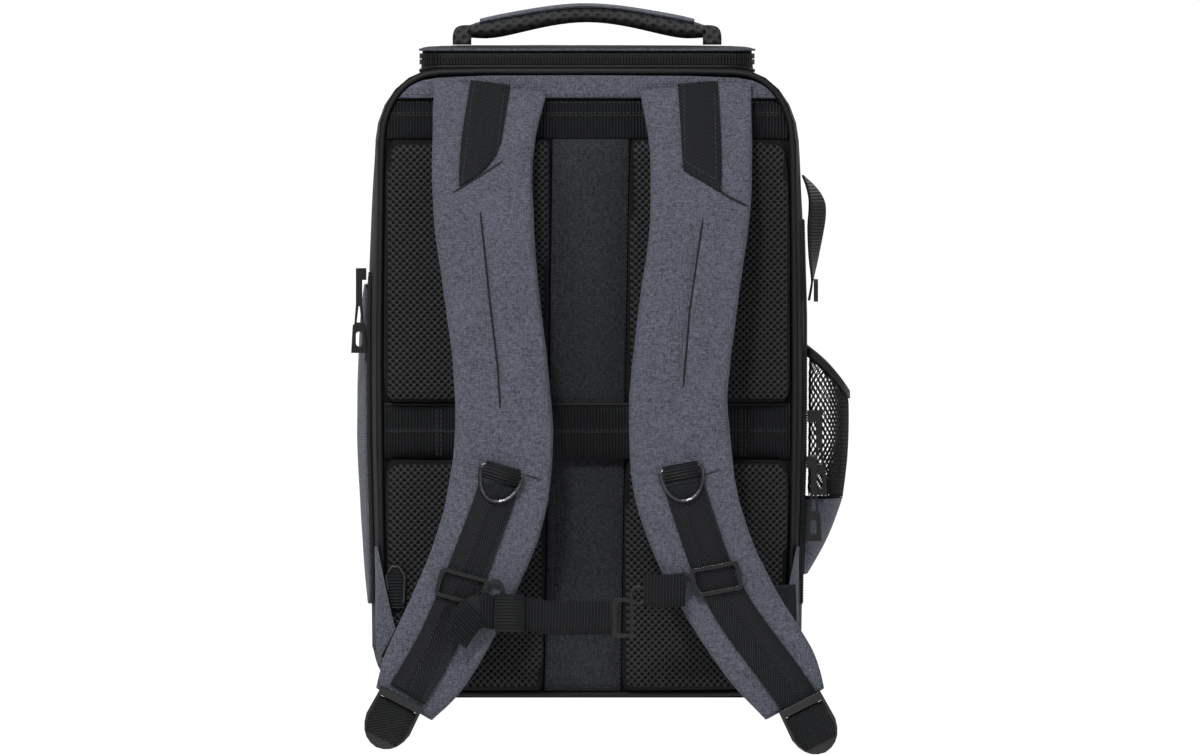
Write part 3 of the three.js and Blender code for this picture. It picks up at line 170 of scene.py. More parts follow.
# the share of +Y in a ray's direction: grey up to 0.8, white from 0.97
white_behind = add(sky, "ShaderNodeMapRange", {"interpolation_type": "SMOOTHSTEP"},
                   {"From Min": 0.8, "From Max": 0.97, "To Min": 0.4, "To Max": 1.05},
                   {"Value": way.outputs["Y"]})
sky.links.new(white_behind.outputs["Result"], sky.nodes["Background"].inputs["Strength"])
scene.view_settings.view_transform = "Standard"

# %% [markdown]
# ## Cloth materials
# The straps, yoke and pocket are a woven melange: grey and near-black fibres spun into one yarn, so that the
# colour wanders in short flecks. Two stretched noises, one along each thread direction, give the flecks, and
# a fine pair of crossed waves gives the weave's relief. A flat colour with bump alone would read as rubber,
# because the flecks are what tells the eye that this is yarn.

# %% Melange and plain woven cloth
WAVE_TURN = 6.3  # a wave node of scale 1 repeats after one unit over this number
FLECK_ACROSS, FLECK_ALONG = 300, 1150  # noise cells per metre, long and short side of a fleck


def woven_cloth(name, colour, fleck, pitch, flecks, relief, sheen):
    """Woven cloth. pitch is the thread spacing in mm, drawn about twice as coarse as the real one so that it
    still shows at this distance."""
    material, tree, shader = new_material(name)
    place = add(tree, "ShaderNodeTexCoord").outputs["Object"]
    shades = []
    for squeeze in ((FLECK_ACROSS, FLECK_ACROSS, FLECK_ALONG), (FLECK_ALONG, FLECK_ALONG, FLECK_ACROSS)):
        yarn = add(tree, "ShaderNodeMapping", values={"Scale": squeeze}, links={"Vector": place})
        fibre = add(tree, "ShaderNodeTexNoise", values={"Scale": 1.0, "Detail": 4.0, "Roughness": 0.7},
                    links={"Vector": yarn.outputs["Vector"]})
        shades.append(fibre.outputs["Fac"])
    both = add(tree, "ShaderNodeMath", {"operation": "ADD"})
    tree.links.new(shades[0], both.inputs[0])
    tree.links.new(shades[1], both.inputs[1])
    # the wider the span of the noise between the two colours, the softer the melange
    span = add(tree, "ShaderNodeMapRange", values={"From Min": 1 - flecks, "From Max": 1 + flecks},
               links={"Value": both.outputs["Value"]})
    ramp = add(tree, "ShaderNodeValToRGB", links={"Fac": span.outputs["Result"]})
    ramp.color_ramp.elements[0].color = linear(fleck)
    ramp.color_ramp.elements[1].color = linear(colour)
    # slow patches of wear and handling, a few centimetres across
    patch = add(tree, "ShaderNodeTexNoise", values={"Scale": 28.0, "Detail": 3.0}, links={"Vector": place})
    worn = add(tree, "ShaderNodeMapRange",
               values={"From Min": 0.3, "From Max": 0.7, "To Min": 0.93, "To Max": 1.05},
               links={"Value": patch.outputs["Fac"]})
    tint = add(tree, "ShaderNodeVectorMath", {"operation": "SCALE"},
               links={"Vector": ramp.outputs["Color"], "Scale": worn.outputs["Result"]})
    tree.links.new(tint.outputs["Vector"], shader.inputs["Base Color"])
    waves = []
    for axis in ("X", "Z"):
        thread = add(tree, "ShaderNodeTexWave", {"bands_direction": axis},
                     {"Scale": 1 / (pitch * MM) / WAVE_TURN, "Distortion": 1.2, "Detail": 1.0,
                      "Detail Scale": 2.0},
                     {"Vector": place})
        waves.append(thread.outputs["Fac"])
    weave = add(tree, "ShaderNodeMath", {"operation": "MULTIPLY"})
    tree.links.new(waves[0], weave.inputs[0])
    tree.links.new(waves[1], weave.inputs[1])
    bump = add(tree, "ShaderNodeBump", values={"Strength": relief, "Distance": 0.0004},
               links={"Height": weave.outputs["Value"]})
    crumple = add(tree, "ShaderNodeTexNoise", values={"Scale": 60.0, "Detail": 2.0}, links={"Vector": place})
    soft = add(tree, "ShaderNodeBump", values={"Strength": 0.35, "Distance": 0.0012},
               links={"Height": crumple.outputs["Fac"], "Normal": bump.outputs["Normal"]})
    tree.links.new(soft.outputs["Normal"], shader.inputs["Normal"])
    shader.inputs["Roughness"].default_value = 0.88
    shader.inputs["Specular IOR Level"].default_value = 0.25
    shader.inputs["Sheen Weight"].default_value = sheen
    shader.inputs["Sheen Roughness"].default_value = 0.5
    return material


MATS = {
    # grey polyester melange: mid grey with dark flecks, the bag's main colour
    "heather": woven_cloth("heather polyester cloth", "#606370", "#2a2c34", 1.1, 0.24, 0.6, 0.06),
    # darker melange of the centre column and lid
    "dark": woven_cloth("dark heather polyester cloth", "#33353a", "#121315", 1.1, 0.2, 0.6, 0.02),
    # smooth coated cloth of the side walls, almost without flecks
    "side": woven_cloth("coated polyester side cloth", "#26272a", "#1d1e20", 0.9, 0.5, 0.3, 0.02),
}
print("cloths", sorted(MATS))


# %% [markdown]
# ## Webbing, binding and thread
# Webbing is nylon woven on a narrow loom. The sewn and sternum bands are ribbed across, the bands on and
# under the straps are herringbone, and the ends in the ladder locks are a slanting twill. All three are one
# wave along the band; a zigzag or a slant added to its phase turns ribs into herringbone or twill. Its
# coordinates are a UV map in metres across and along each band, so that the pattern follows every bend.

# %% Webbing in three weaves
BAND_HALF = 15 * MM  # half the width of a strap band


def webbing(name, colour, pitch, zigzag=0.0, slant=0.0):
    """Webbing. pitch is the rib spacing in mm. zigzag and slant are the ribs' rise over a run of one."""
    material, tree, shader = new_material(name)
    band = add(tree, "ShaderNodeUVMap", {"uv_map": "band"})
    split = add(tree, "ShaderNodeSeparateXYZ", links={"Vector": band.outputs["UV"]})
    fold = add(tree, "ShaderNodeMath", {"operation": "PINGPONG"}, links={0: split.outputs["X"]})
    fold.inputs[1].default_value = BAND_HALF
    lean = add(tree, "ShaderNodeMath", {"operation": "MULTIPLY"}, links={0: fold.outputs["Value"]})
    lean.inputs[1].default_value = zigzag
    skew = add(tree, "ShaderNodeMath", {"operation": "MULTIPLY_ADD"},
               links={0: split.outputs["X"], 2: lean.outputs["Value"]})
    skew.inputs[1].default_value = slant
    along = add(tree, "ShaderNodeMath", {"operation": "ADD"},
                links={0: split.outputs["Y"], 1: skew.outputs["Value"]})
    phase = add(tree, "ShaderNodeMath", {"operation": "MULTIPLY"}, links={0: along.outputs["Value"]})
    phase.inputs[1].default_value = 2 * math.pi / (pitch * MM)
    rib = add(tree, "ShaderNodeMath", {"operation": "SINE"}, links={0: phase.outputs["Value"]})
    place = add(tree, "ShaderNodeTexCoord").outputs["Object"]
    fuzz = add(tree, "ShaderNodeTexNoise", values={"Scale": 1500.0, "Detail": 2.0}, links={"Vector": place})
    height = add(tree, "ShaderNodeMath", {"operation": "MULTIPLY_ADD"},
                 links={0: fuzz.outputs["Fac"], 2: rib.outputs["Value"]})
    height.inputs[1].default_value = 0.8
    bump = add(tree, "ShaderNodeBump", values={"Strength": 0.9, "Distance": 0.0007},
               links={"Height": height.outputs["Value"]})
    tree.links.new(bump.outputs["Normal"], shader.inputs["Normal"])
    # the colour follows the rib height: the grooves between ribs are painted down to a tenth of the colour,
    # painted shade between the ribs, with random fibre fuzz mixed in
    shade = add(tree, "ShaderNodeMapRange", values={"From Min": -1.0, "From Max": 1.8},
                links={"Value": height.outputs["Value"]})
    ramp = add(tree, "ShaderNodeValToRGB", links={"Fac": shade.outputs["Result"]})
    dark = [v * 0.1 for v in linear(colour)[:3]] + [1.0]
    ramp.color_ramp.elements[0].color = dark
    ramp.color_ramp.elements[1].color = linear(colour)
    tree.links.new(ramp.outputs["Color"], shader.inputs["Base Color"])
    shader.inputs["Roughness"].default_value = 0.55
    shader.inputs["Specular IOR Level"].default_value = 0.2
    return material


def tape(name, colour, roughness, grain):
    """Narrow woven tape, cord or thread: too fine to show its weave, so only its grain and sheen."""
    material, tree, shader = new_material(name)
    place = add(tree, "ShaderNodeTexCoord").outputs["Object"]
    fine = add(tree, "ShaderNodeTexNoise", values={"Scale": grain, "Detail": 3.0}, links={"Vector": place})
    bump = add(tree, "ShaderNodeBump", values={"Strength": 0.5, "Distance": 0.0003},
               links={"Height": fine.outputs["Fac"]})
    tree.links.new(bump.outputs["Normal"], shader.inputs["Normal"])
    shade = add(tree, "ShaderNodeMapRange",
                values={"From Min": 0.3, "From Max": 0.7, "To Min": 0.75, "To Max": 1.15},
                links={"Value": fine.outputs["Fac"]})
    rgb = add(tree, "ShaderNodeVectorMath", {"operation": "SCALE"}, links={"Scale": shade.outputs["Result"]})
    rgb.inputs["Vector"].default_value = linear(colour)[:3]
    tree.links.new(rgb.outputs["Vector"], shader.inputs["Base Color"])
    shader.inputs["Roughness"].default_value = roughness
    shader.inputs["Specular IOR Level"].default_value = 0.3
    return material


MATS.update({
    # real ribs are 1.6 mm apart; they are drawn at 2.4 mm, or the picture's pixels would swallow them
    "ribbed": webbing("ribbed nylon webbing", "#212326", 2.4),
    # one chevron: its two slants meet on the band's middle line, and its threads are drawn twice as coarse
    "herringbone": webbing("herringbone nylon webbing", "#2c2e32", 3.0, zigzag=1.4),
    # slanting twill of the band ends in the ladder locks, also drawn twice as coarse
    "twill": webbing("twill nylon webbing", "#202225", 2.6, slant=0.8),
    # piping and seam binding: slightly shiny tape, also the colour of the dark cords of painted seam shade
    "binding": tape("polyester binding tape", "#0e0f10", 0.6, 900),
    # bonded nylon thread, a touch lighter than the cloth under it so that it shows
    "thread": tape("bonded nylon thread", "#36383c", 0.5, 1500),
    # foam under the open mesh, without shine: black foam, drawn darker still as painted shade for the depth
    # of the mesh holes over it
    "foam": tape("black foam backing", "#050506", 0.95, 700),
    # polyester strands of the mesh, satin, so that each strand catches the light
    "strand": tape("black polyester mesh strand", "#1f2022", 0.55, 1200),
    # nylon zip coil
    "coil": tape("nylon zip coil", "#141517", 0.42, 900),
})
print("materials", len(MATS))


# %% [markdown]
# ## Plastic and metal
# The slides, ladder locks and buckle are moulded acetal: dark, satin, with edges softened by the mould, which
# the shader rounds off with a bevelled normal. The D-rings are steel wire with a dark plated finish; the
# plating is thin, so fine scratches show brighter.

# %% Moulded plastic and plated wire
def moulded(name, colour, roughness):
    material, tree, shader = new_material(name)
    place = add(tree, "ShaderNodeTexCoord").outputs["Object"]
    grain = add(tree, "ShaderNodeTexNoise", values={"Scale": 1400.0, "Detail": 2.0}, links={"Vector": place})
    rounded = add(tree, "ShaderNodeBevel", values={"Radius": 0.0012})
    bump = add(tree, "ShaderNodeBump", values={"Strength": 0.12, "Distance": 0.0002},
               links={"Height": grain.outputs["Fac"], "Normal": rounded.outputs["Normal"]})
    tree.links.new(bump.outputs["Normal"], shader.inputs["Normal"])
    marks = add(tree, "ShaderNodeTexNoise", values={"Scale": 90.0, "Detail": 5.0}, links={"Vector": place})
    polish = add(tree, "ShaderNodeMapRange", values={"To Min": roughness - 0.08, "To Max": roughness + 0.12},
                 links={"Value": marks.outputs["Fac"]})
    tree.links.new(polish.outputs["Result"], shader.inputs["Roughness"])
    shader.inputs["Base Color"].default_value = linear(colour)
    return material


def plated(name, colour):
    material, tree, shader = new_material(name)
    place = add(tree, "ShaderNodeTexCoord").outputs["Object"]
    scratch = add(tree, "ShaderNodeTexNoise", values={"Scale": 420.0, "Detail": 6.0, "Distortion": 1.5},
                  links={"Vector": place})
    polish = add(tree, "ShaderNodeMapRange",
                 values={"From Min": 0.35, "From Max": 0.75, "To Min": 0.2, "To Max": 0.42},
                 links={"Value": scratch.outputs["Fac"]})
    tree.links.new(polish.outputs["Result"], shader.inputs["Roughness"])
    shader.inputs["Base Color"].default_value = linear(colour)
    shader.inputs["Metallic"].default_value = 1.0
    return material


MATS["plastic"] = moulded("moulded black acetal", "#141516", 0.24)
MATS["metal"] = plated("dark nickel plated steel", "#454547")
print("materials", len(MATS))


# %% [markdown]
# ## Rounding off the cloth
# A CAD section is a chain of flat facets. Cloth over foam is round between its seams, so each soft piece gets
# a subdivided copy of its CAD node: real edges, where two faces meet at more than 45 degrees, stay creased,
# and everything between them turns smooth. Seeded noise then moves the surface by a fraction of a millimetre,
# which is what keeps large panels from looking machined.

# %% Soft copies
WELD = 2e-6  # corners nearer than this are one corner
CREASE = math.radians(45)  # a sharper edge between two faces is a real one


def finished(obj, name, cloth, nodes=(), sharp=50):
    """Names a piece, smooths its shading, gives it its material and joins it to the bag."""
    obj.name = name
    obj.data.name = name
    obj.data.materials.clear()
    obj.data.materials.append(MATS[cloth])
    for face in obj.data.polygons:
        face.use_smooth = True
    obj.data.set_sharp_from_angle(angle=math.radians(sharp))
    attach(obj, BODY)
    if nodes:
        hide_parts(*nodes)
    return obj


def new_object(name, points, faces):
    mesh = bpy.data.meshes.new(name)
    mesh.from_pydata(points, [], faces)
    mesh.update()
    obj = bpy.data.objects.new(name, mesh)
    scene.collection.objects.link(obj)
    return obj


def rounded_copy(node, levels):
    """The CAD node's surface, joined back into four-sided faces and subdivided between its real edges."""
    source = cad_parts[node]
    work = bmesh.new()
    work.from_mesh(source.data)
    bmesh.ops.transform(work, matrix=source.matrix_world, verts=work.verts)
    bmesh.ops.remove_doubles(work, verts=work.verts, dist=WELD)
    bmesh.ops.join_triangles(work, faces=work.faces, angle_face_threshold=0.7, angle_shape_threshold=1.4)
    crease = work.edges.layers.float.new("crease_edge")
    for edge in work.edges:
        if len(edge.link_faces) == 2 and edge.calc_face_angle() > CREASE:
            edge[crease] = 1.0
    mesh = bpy.data.meshes.new(node)
    work.to_mesh(mesh)
    work.free()
    obj = bpy.data.objects.new(node, mesh)
    scene.collection.objects.link(obj)
    if levels:
        rounding = obj.modifiers.new("Rounding", "SUBSURF")
        rounding.levels = rounding.render_levels = levels
        settle(obj)
    return obj


def settle(obj):
    """Turns the modifiers into plain mesh."""
    shape = obj.evaluated_get(bpy.context.evaluated_depsgraph_get())
    plain = bpy.data.meshes.new_from_object(shape)
    obj.modifiers.clear()
    obj.data = plain


def rumple(obj, rows, seed):
    """Moves the surface along its normals by smooth noise. Each row is a size and a depth in mm."""
    normals = [vertex.normal.copy() for vertex in obj.data.vertices]
    moved = []
    for vertex, normal in zip(obj.data.vertices, normals):
        lift = 0.0
        for size, depth in rows:
            where = vertex.co / (size * MM) + Vector((seed * 3.1, seed * 1.7, 0))
            lift += noise.noise(where) * depth * MM
        moved.extend(vertex.co + normal * lift)
    obj.data.vertices.foreach_set("co", moved)
    obj.data.update()


def band_map(obj, path, plane_of=(0, 2)):
    """Gives each corner its distance across and along a band. path is points in mm in the chosen plane."""
    u, v = plane_of
    points = [Vector((p[0] * MM, p[1] * MM)) for p in path]
    layer = obj.data.uv_layers.new(name="band")
    for loop in obj.data.loops:
        co = obj.data.vertices[loop.vertex_index].co
        here = Vector((co[u], co[v] - (BASE_Z if v == 2 else 0)))
        best, travelled = None, 0.0
        for a, b in zip(points, points[1:]):
            way = b - a
            share = max(0.0, min(1.0, (here - a).dot(way) / way.length_squared))
            off = here - (a + way * share)
            if best is None or off.length < best[0]:
                side = (way.x * off.y - way.y * off.x) / way.length
                best = (off.length, side, travelled + share * way.length)
            travelled += way.length
        # three half widths are added, so that the zigzag's fold lies on the band's middle line
        layer.data[loop.index].uv = (best[1] + 3 * BAND_HALF, best[2])


print("helpers ready")

# %% [markdown]
# ## Small parts joined into one mesh
# Stitches, zip teeth and seam cords are many and tiny. One builder collects their corners and faces, so each
# family is a single mesh. A surface is read by casting a ray straight at the harness side, so seams and
# stitches can be listed by the place where they show, across and above the base, and land on the cloth.

# %% Builder for small parts and reader for surfaces
BOX_CORNERS = [(-1, -1, -1), (1, -1, -1), (1, 1, -1), (-1, 1, -1),
               (-1, -1, 1), (1, -1, 1), (1, 1, 1), (-1, 1, 1)]
BOX_FACES = [(0, 3, 2, 1), (4, 5, 6, 7), (0, 1, 5, 4), (1, 2, 6, 5), (2, 3, 7, 6), (3, 0, 4, 7)]
IN_FRONT, BESIDE = 0.4, 0.5  # where rays start, in metres from the bag's middle and outside it
# stitches in mm: from one to the next, their size, and how their ends dip and their middle stands proud
STITCH_PITCH, STITCH_LENGTH, STITCH_RADIUS = 3.6, 2.5, 0.32
DIP, PROUD = -0.15, 0.22


class Bits:
    def __init__(self):
        self.points, self.faces = [], []

    def box(self, centre, axes, halves):
        start = len(self.points)
        for corner in BOX_CORNERS:
            place = centre.copy()
            for sign, axis, half in zip(corner, axes, halves):
                place += axis * sign * half
            self.points.append(place)
        for face in BOX_FACES:
            self.faces.append(tuple(start + k for k in face))

    def tube(self, path, radius, sides=6, ends=0.3):
        """A tube through some points. ends is the share of its radius that is left at both ends."""
        start = len(self.points)
        for i, point in enumerate(path):
            way = (path[min(i + 1, len(path) - 1)] - path[max(i - 1, 0)]).normalized()
            side = way.cross(Vector((0, 0, 1)) if abs(way.z) < 0.9 else Vector((1, 0, 0))).normalized()
            up = side.cross(way)
            here = radius * (ends if i in (0, len(path) - 1) else 1)
            for k in range(sides):
                angle = 2 * math.pi * k / sides
                self.points.append(point + (side * math.cos(angle) + up * math.sin(angle)) * here)
        for i in range(len(path) - 1):
            for k in range(sides):
                a, b = start + i * sides + k, start + i * sides + (k + 1) % sides
                self.faces.append((a, a + sides, b + sides, b))
        self.faces.append(tuple(start + k for k in range(sides)))
        last = start + (len(path) - 1) * sides
        self.faces.append(tuple(last + sides - 1 - k for k in range(sides)))

    def build(self, name, cloth):
        obj = finished(new_object(name, self.points, self.faces), name, cloth)
        print(name, len(self.faces), "faces")
        return obj


def reader(*objects):
    """Reads the surface of some pieces: (across, up) in mm gives a point and its normal, or None."""
    points, faces = [], []
    for obj in objects:
        start = len(points)
        points += [v.co.copy() for v in obj.data.vertices]
        faces += [[start + i for i in p.vertices] for p in obj.data.polygons]
    tree = BVHTree.FromPolygons(points, faces)

    def read(x, up):
        hit, normal, _, _ = tree.ray_cast(Vector((x * MM, -IN_FRONT, BASE_Z + up * MM)), Vector((0, 1, 0)))
        if hit is None:
            return None
        return hit, normal if normal.y < 0 else -normal
    return read


def evenly(rows, pitch):
    """Points every pitch mm along a line through rows of (across, up)."""
    points = [Vector(row) for row in rows]
    made, left = [], 0.0
    for a, b in zip(points, points[1:]):
        length = (b - a).length
        at = left
        while at < length:
            made.append(a.lerp(b, at / length))
            at += pitch
        left = at - length
    return made


def stitch_row(bits, read, rows):
    """Lays stitches on a surface along a line through rows of (across, up)."""
    places = evenly(rows, STITCH_PITCH)
    for a, b in zip(places, places[1:]):
        way = (b - a).normalized() * STITCH_LENGTH
        ends = [read(a.x + way.x * s, a.y + way.y * s) for s in (0, 0.5, 1)]
        if None in ends:
            continue
        path = [hit + normal * lift * MM for (hit, normal), lift in zip(ends, (DIP, PROUD, DIP))]
        bits.tube(path, STITCH_RADIUS * MM, 5, 0.7)


def seam_cord(bits, read, rows, radius, sink, step=4.0):
    """Lays a cord of a radius on a surface, sunk into it by sink. All lengths are in mm."""
    path = [read(p.x, p.y) for p in evenly(rows, step)]
    path = [hit + normal * (radius - sink) * MM for hit, normal in filter(None, path)]
    if len(path) > 2:
        bits.tube(path, radius * MM, 6)


# %% [markdown]
# ## Body, lid and piping
# The body is a zipped shell: smooth coated cloth round the sides, melange on the front, and piping over the
# seams. The walls are rounded copies of the CAD walls. Their slow waves are what an empty padded bag shows.

# %% Body panels
KNIT = "knit"
PANELS = [
    {"node": "base_panel", "cloth": "side", "levels": 2, "wave": 0.5},
    {"node": "side_panel_left", "cloth": "side", "levels": 2, "wave": 0.7},
    {"node": "side_panel_right", "cloth": "side", "levels": 2, "wave": 0.7},
    {"node": "top_panel", "cloth": "side", "levels": 0, "wave": 0},
    {"node": "front_panel", "cloth": "heather", "levels": 2, "wave": 1.6},
    {"node": "back_panel", "cloth": "foam", "levels": 0, "wave": 0},
    {"node": "piping_back", "cloth": "binding", "levels": 1, "wave": 0},
    {"node": "piping_front", "cloth": "binding", "levels": 1, "wave": 0},
    {"node": "lid_band", "cloth": "binding", "levels": 1, "wave": 0},
    {"node": "lid_top", "cloth": "dark", "levels": 1, "wave": 0.3},
    {"node": "yoke", "cloth": "heather", "levels": 1, "wave": 0.3},
    {"node": "centre_column", "cloth": "dark", "levels": 1, "wave": 0},
    {"node": "side_pocket_left", "cloth": "heather", "levels": 2, "wave": 0.9},
    {"node": "side_wing_left", "cloth": "heather", "levels": 1, "wave": 0.3},
    {"node": "side_wing_right", "cloth": "heather", "levels": 1, "wave": 0.3},
    {"node": "bottle_pocket_base", "cloth": "heather", "levels": 2, "wave": 0.4},
    {"node": "bottle_pocket_hem", "cloth": "binding", "levels": 2, "wave": 0.2},
    {"node": "handle_cover", "cloth": "heather", "levels": 2, "wave": 0.2},
    {"node": "zip_left", "cloth": "binding", "levels": 0, "wave": 0},
    {"node": "zip_right", "cloth": "binding", "levels": 0, "wave": 0},
]
soft = {}
for seed, row in enumerate(PANELS):
    node = row["node"]
    obj = rounded_copy(node, row["levels"])
    if row["wave"]:
        rumple(obj, [(70, row["wave"]), (22, row["wave"] * 0.35)], seed)
    soft[node] = finished(obj, "cloth_" + node, row["cloth"], [node])
print("panels", len(soft), "faces", sum(len(o.data.polygons) for o in soft.values()))


# %% [markdown]
# ## Air mesh
# The pads, the grip and the strap backs are spacer mesh: a knitted net over black foam. On the pads, the net
# is real geometry, because its holes are wide enough to see and its strands catch the light. It is a diamond
# grid laid on the pad's surface, thickened into strands by the Wireframe modifier and rounded once, which
# rounds its holes as well. On the strap backs and the handle the same net is drawn by two crossed waves in
# the shader, which is enough for what shows of them. Through the holes the foam is near-black: its own black
# with painted shade for the holes' depth.

# %% Shader net for small pieces
def knitted(name, pitch):
    material, tree, shader = new_material(name)
    place = add(tree, "ShaderNodeTexCoord").outputs["Object"]
    waves = []
    for turn in (math.radians(45), math.radians(-45)):
        spun = add(tree, "ShaderNodeMapping", values={"Rotation": (0, turn, 0)}, links={"Vector": place})
        wave = add(tree, "ShaderNodeTexWave", {"bands_direction": "X"},
                   {"Scale": 1 / (pitch * MM) / WAVE_TURN}, {"Vector": spun.outputs["Vector"]})
        waves.append(wave.outputs["Fac"])
    hole = add(tree, "ShaderNodeMath", {"operation": "MULTIPLY"}, links={0: waves[0], 1: waves[1]})
    bump = add(tree, "ShaderNodeBump", {"invert": True}, {"Strength": 0.9, "Distance": 0.001},
               {"Height": hole.outputs["Value"]})
    tree.links.new(bump.outputs["Normal"], shader.inputs["Normal"])
    # the holes are near-black: the black foam seen through them, darkened further as painted shade for their
    # depth
    ramp = add(tree, "ShaderNodeValToRGB", links={"Fac": hole.outputs["Value"]})
    ramp.color_ramp.elements[0].color = linear("#1b1c1e")
    ramp.color_ramp.elements[0].position = 0.25
    ramp.color_ramp.elements[1].color = linear("#040405")
    ramp.color_ramp.elements[1].position = 0.6
    tree.links.new(ramp.outputs["Color"], shader.inputs["Base Color"])
    shader.inputs["Roughness"].default_value = 0.7
    return material


# its holes are 3 mm apart
MATS[KNIT] = knitted("black spacer mesh", 3.0)


# %% Pads with a real net
# in mm: across a diamond, a strand's thickness and the net's height over the foam
PAD_NET = {"pitch": 5.2, "strand": 1.7, "proud": 0.35}
FACING = -0.25  # the net ends where the pad's face turns away from the harness side


def diamond_net(name, read, box, pitch, strand, proud):
    """A net of diamonds over a surface. box is left, right, bottom and top in mm; a diamond is kept where all
    its corners meet the surface."""
    left, right, bottom, top = box
    half = pitch / 2
    places, points, faces = {}, [], []

    def corner(i, j):
        if (i, j) not in places:
            found = read(left + i * half, bottom + j * half)
            if found is not None and found[1].y < FACING:
                hit, normal = found
                points.append(hit + normal * proud * MM)
                places[i, j] = len(points) - 1
            else:
                places[i, j] = None
        return places[i, j]

    for j in range(int((top - bottom) / half)):
        for i in range(int((right - left) / half)):
            if (i + j) % 2 == 0:
                continue
            quad = (corner(i - 1, j), corner(i, j - 1), corner(i + 1, j), corner(i, j + 1))
            if None not in quad:
                faces.append(quad)
    obj = new_object(name, points, faces)
    wire = obj.modifiers.new("Strands", "WIREFRAME")
    wire.thickness = strand * MM
    wire.use_even_offset = False
    round_holes = obj.modifiers.new("Round holes", "SUBSURF")
    round_holes.levels = round_holes.render_levels = 1
    settle(obj)
    finished(obj, name, "strand", sharp=80)
    print(name, len(obj.data.polygons), "faces")
    return obj


for level in ("upper", "lower"):
    for side in ("left", "right"):
        node = f"back_pad_{level}_{side}"
        pad = rounded_copy(node, 2)
        rumple(pad, [(45, 0.8), (18, 0.3)], 11 + len(soft))
        soft[node] = finished(pad, "foam_" + node, "foam", [node])
        low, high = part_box(node)
        area = [low[0] / MM, high[0] / MM, (low[2] - BASE_Z) / MM, (high[2] - BASE_Z) / MM]
        diamond_net("net_" + node, reader(pad), area, **PAD_NET)


# %% [markdown]
# ## Shoulder straps and grip
# Each strap is foam wrapped in melange, with black mesh on the back and a long sewn crease that lets it bend.
# The rounded copy keeps the crease, and a dark cord, painted shade along the crease, is laid in it later,
# with the seams. Noise moves the surface into shallow wrinkles all over.

# %% Padded straps, their backs and the grip
GRIP_STRETCH = 1.016
for seed, side in enumerate(("left", "right")):
    node = "shoulder_strap_" + side
    strap = rounded_copy(node, 2)
    rumple(strap, [(38, 0.8), (13, 0.3)], 20 + seed)
    soft[node] = finished(strap, "padded_" + node, "heather", [node])
    node = "strap_mesh_" + side
    soft[node] = finished(rounded_copy(node, 1), "knit_" + node, KNIT, [node])
for node in ("handle_grip", "handle_post_left", "handle_post_right"):
    padding = rounded_copy(node, 2)
    if node == "handle_grip":
        # the foam is squeezed between its posts, so its ends reach into them
        padding.data.transform(Matrix.Scale(GRIP_STRETCH, 4, Vector((1, 0, 0))))
    soft[node] = finished(padding, "knit_" + node, KNIT, [node])
print("straps and grip done")

# %% [markdown]
# ## Webbing bands
# Every band is a rounded copy of its CAD node with a band map, so that its weave runs along it. Each row
# names the band, its weave, the line it follows and the plane that line is in.

# %% Bands
FRONT_PLANE, SIDE_PLANE = (0, 2), (1, 2)
BANDS = [
    {"node": "top_webbing", "weave": "ribbed", "line": [(-160, 436), (160, 436)]},
    {"node": "luggage_webbing", "weave": "ribbed", "line": [(-160, 201), (160, 201)]},
    {"node": "upper_webbing_left", "weave": "herringbone", "line": [(-74, 462), (-82, 385)]},
    {"node": "upper_webbing_right", "weave": "herringbone", "line": [(85, 462), (87, 385)]},
    {"node": "lower_webbing_left", "weave": "herringbone",
     "line": [(-66, 162), (-71, 149), (-104, 73), (-140, 2)]},
    {"node": "lower_webbing_right", "weave": "herringbone",
     "line": [(72, 162), (75, 146), (100, 80), (160, 0)]},
    {"node": "ring_keeper_left", "weave": "ribbed", "line": [(-60, 186), (-68, 160)]},
    {"node": "ring_keeper_right", "weave": "ribbed", "line": [(68, 186), (73, 160)]},
    {"node": "lock_webbing_left", "weave": "twill", "line": [(-139, 2), (-158, -32)], "swell": 0.4},
    {"node": "lock_webbing_right", "weave": "twill", "line": [(158, 0), (182, -38)], "swell": 0.4},
    {"node": "anchor_webbing_left", "weave": "ribbed", "line": [(-148, 43), (-127, 20), (-158, -38)]},
    {"node": "anchor_webbing_right", "weave": "ribbed", "line": [(148, 43), (147, 18), (180, -40)]},
    {"node": "sternum_webbing_left", "weave": "ribbed", "line": [(-104, 44), (-80, 66), (20, 62)]},
    {"node": "sternum_webbing_right", "weave": "ribbed", "line": [(40, 84), (76, 83)]},
    {"node": "sternum_keeper", "weave": "ribbed", "line": [(-58, 80), (-58, 50)]},
    {"node": "wing_tab_left", "weave": "ribbed", "line": [(-144, 60), (-144, 104)]},
    {"node": "side_strap_right", "weave": "ribbed", "line": [(-9, 298), (-9, 394)], "plane": SIDE_PLANE},
]
for row in BANDS:  # swell is how far a band stands out all round, in mm
    node = row["node"]
    obj = rounded_copy(node, 1 if "keeper" in node else 2)
    if "swell" in row:
        # a band pulled through a slot fills it from edge to edge
        normals = [vertex.normal.copy() for vertex in obj.data.vertices]
        for vertex, normal in zip(obj.data.vertices, normals):
            vertex.co += normal * row["swell"] * MM
    band_map(obj, row["line"], row.get("plane", FRONT_PLANE))
    soft[node] = finished(obj, "band_" + node, row["weave"], [node])
print("bands", len(BANDS))

# %% [markdown]
# ## Fittings
# The hard fittings are shown as the CAD nodes themselves. They only take their finish, because their edges
# and slots are already true.

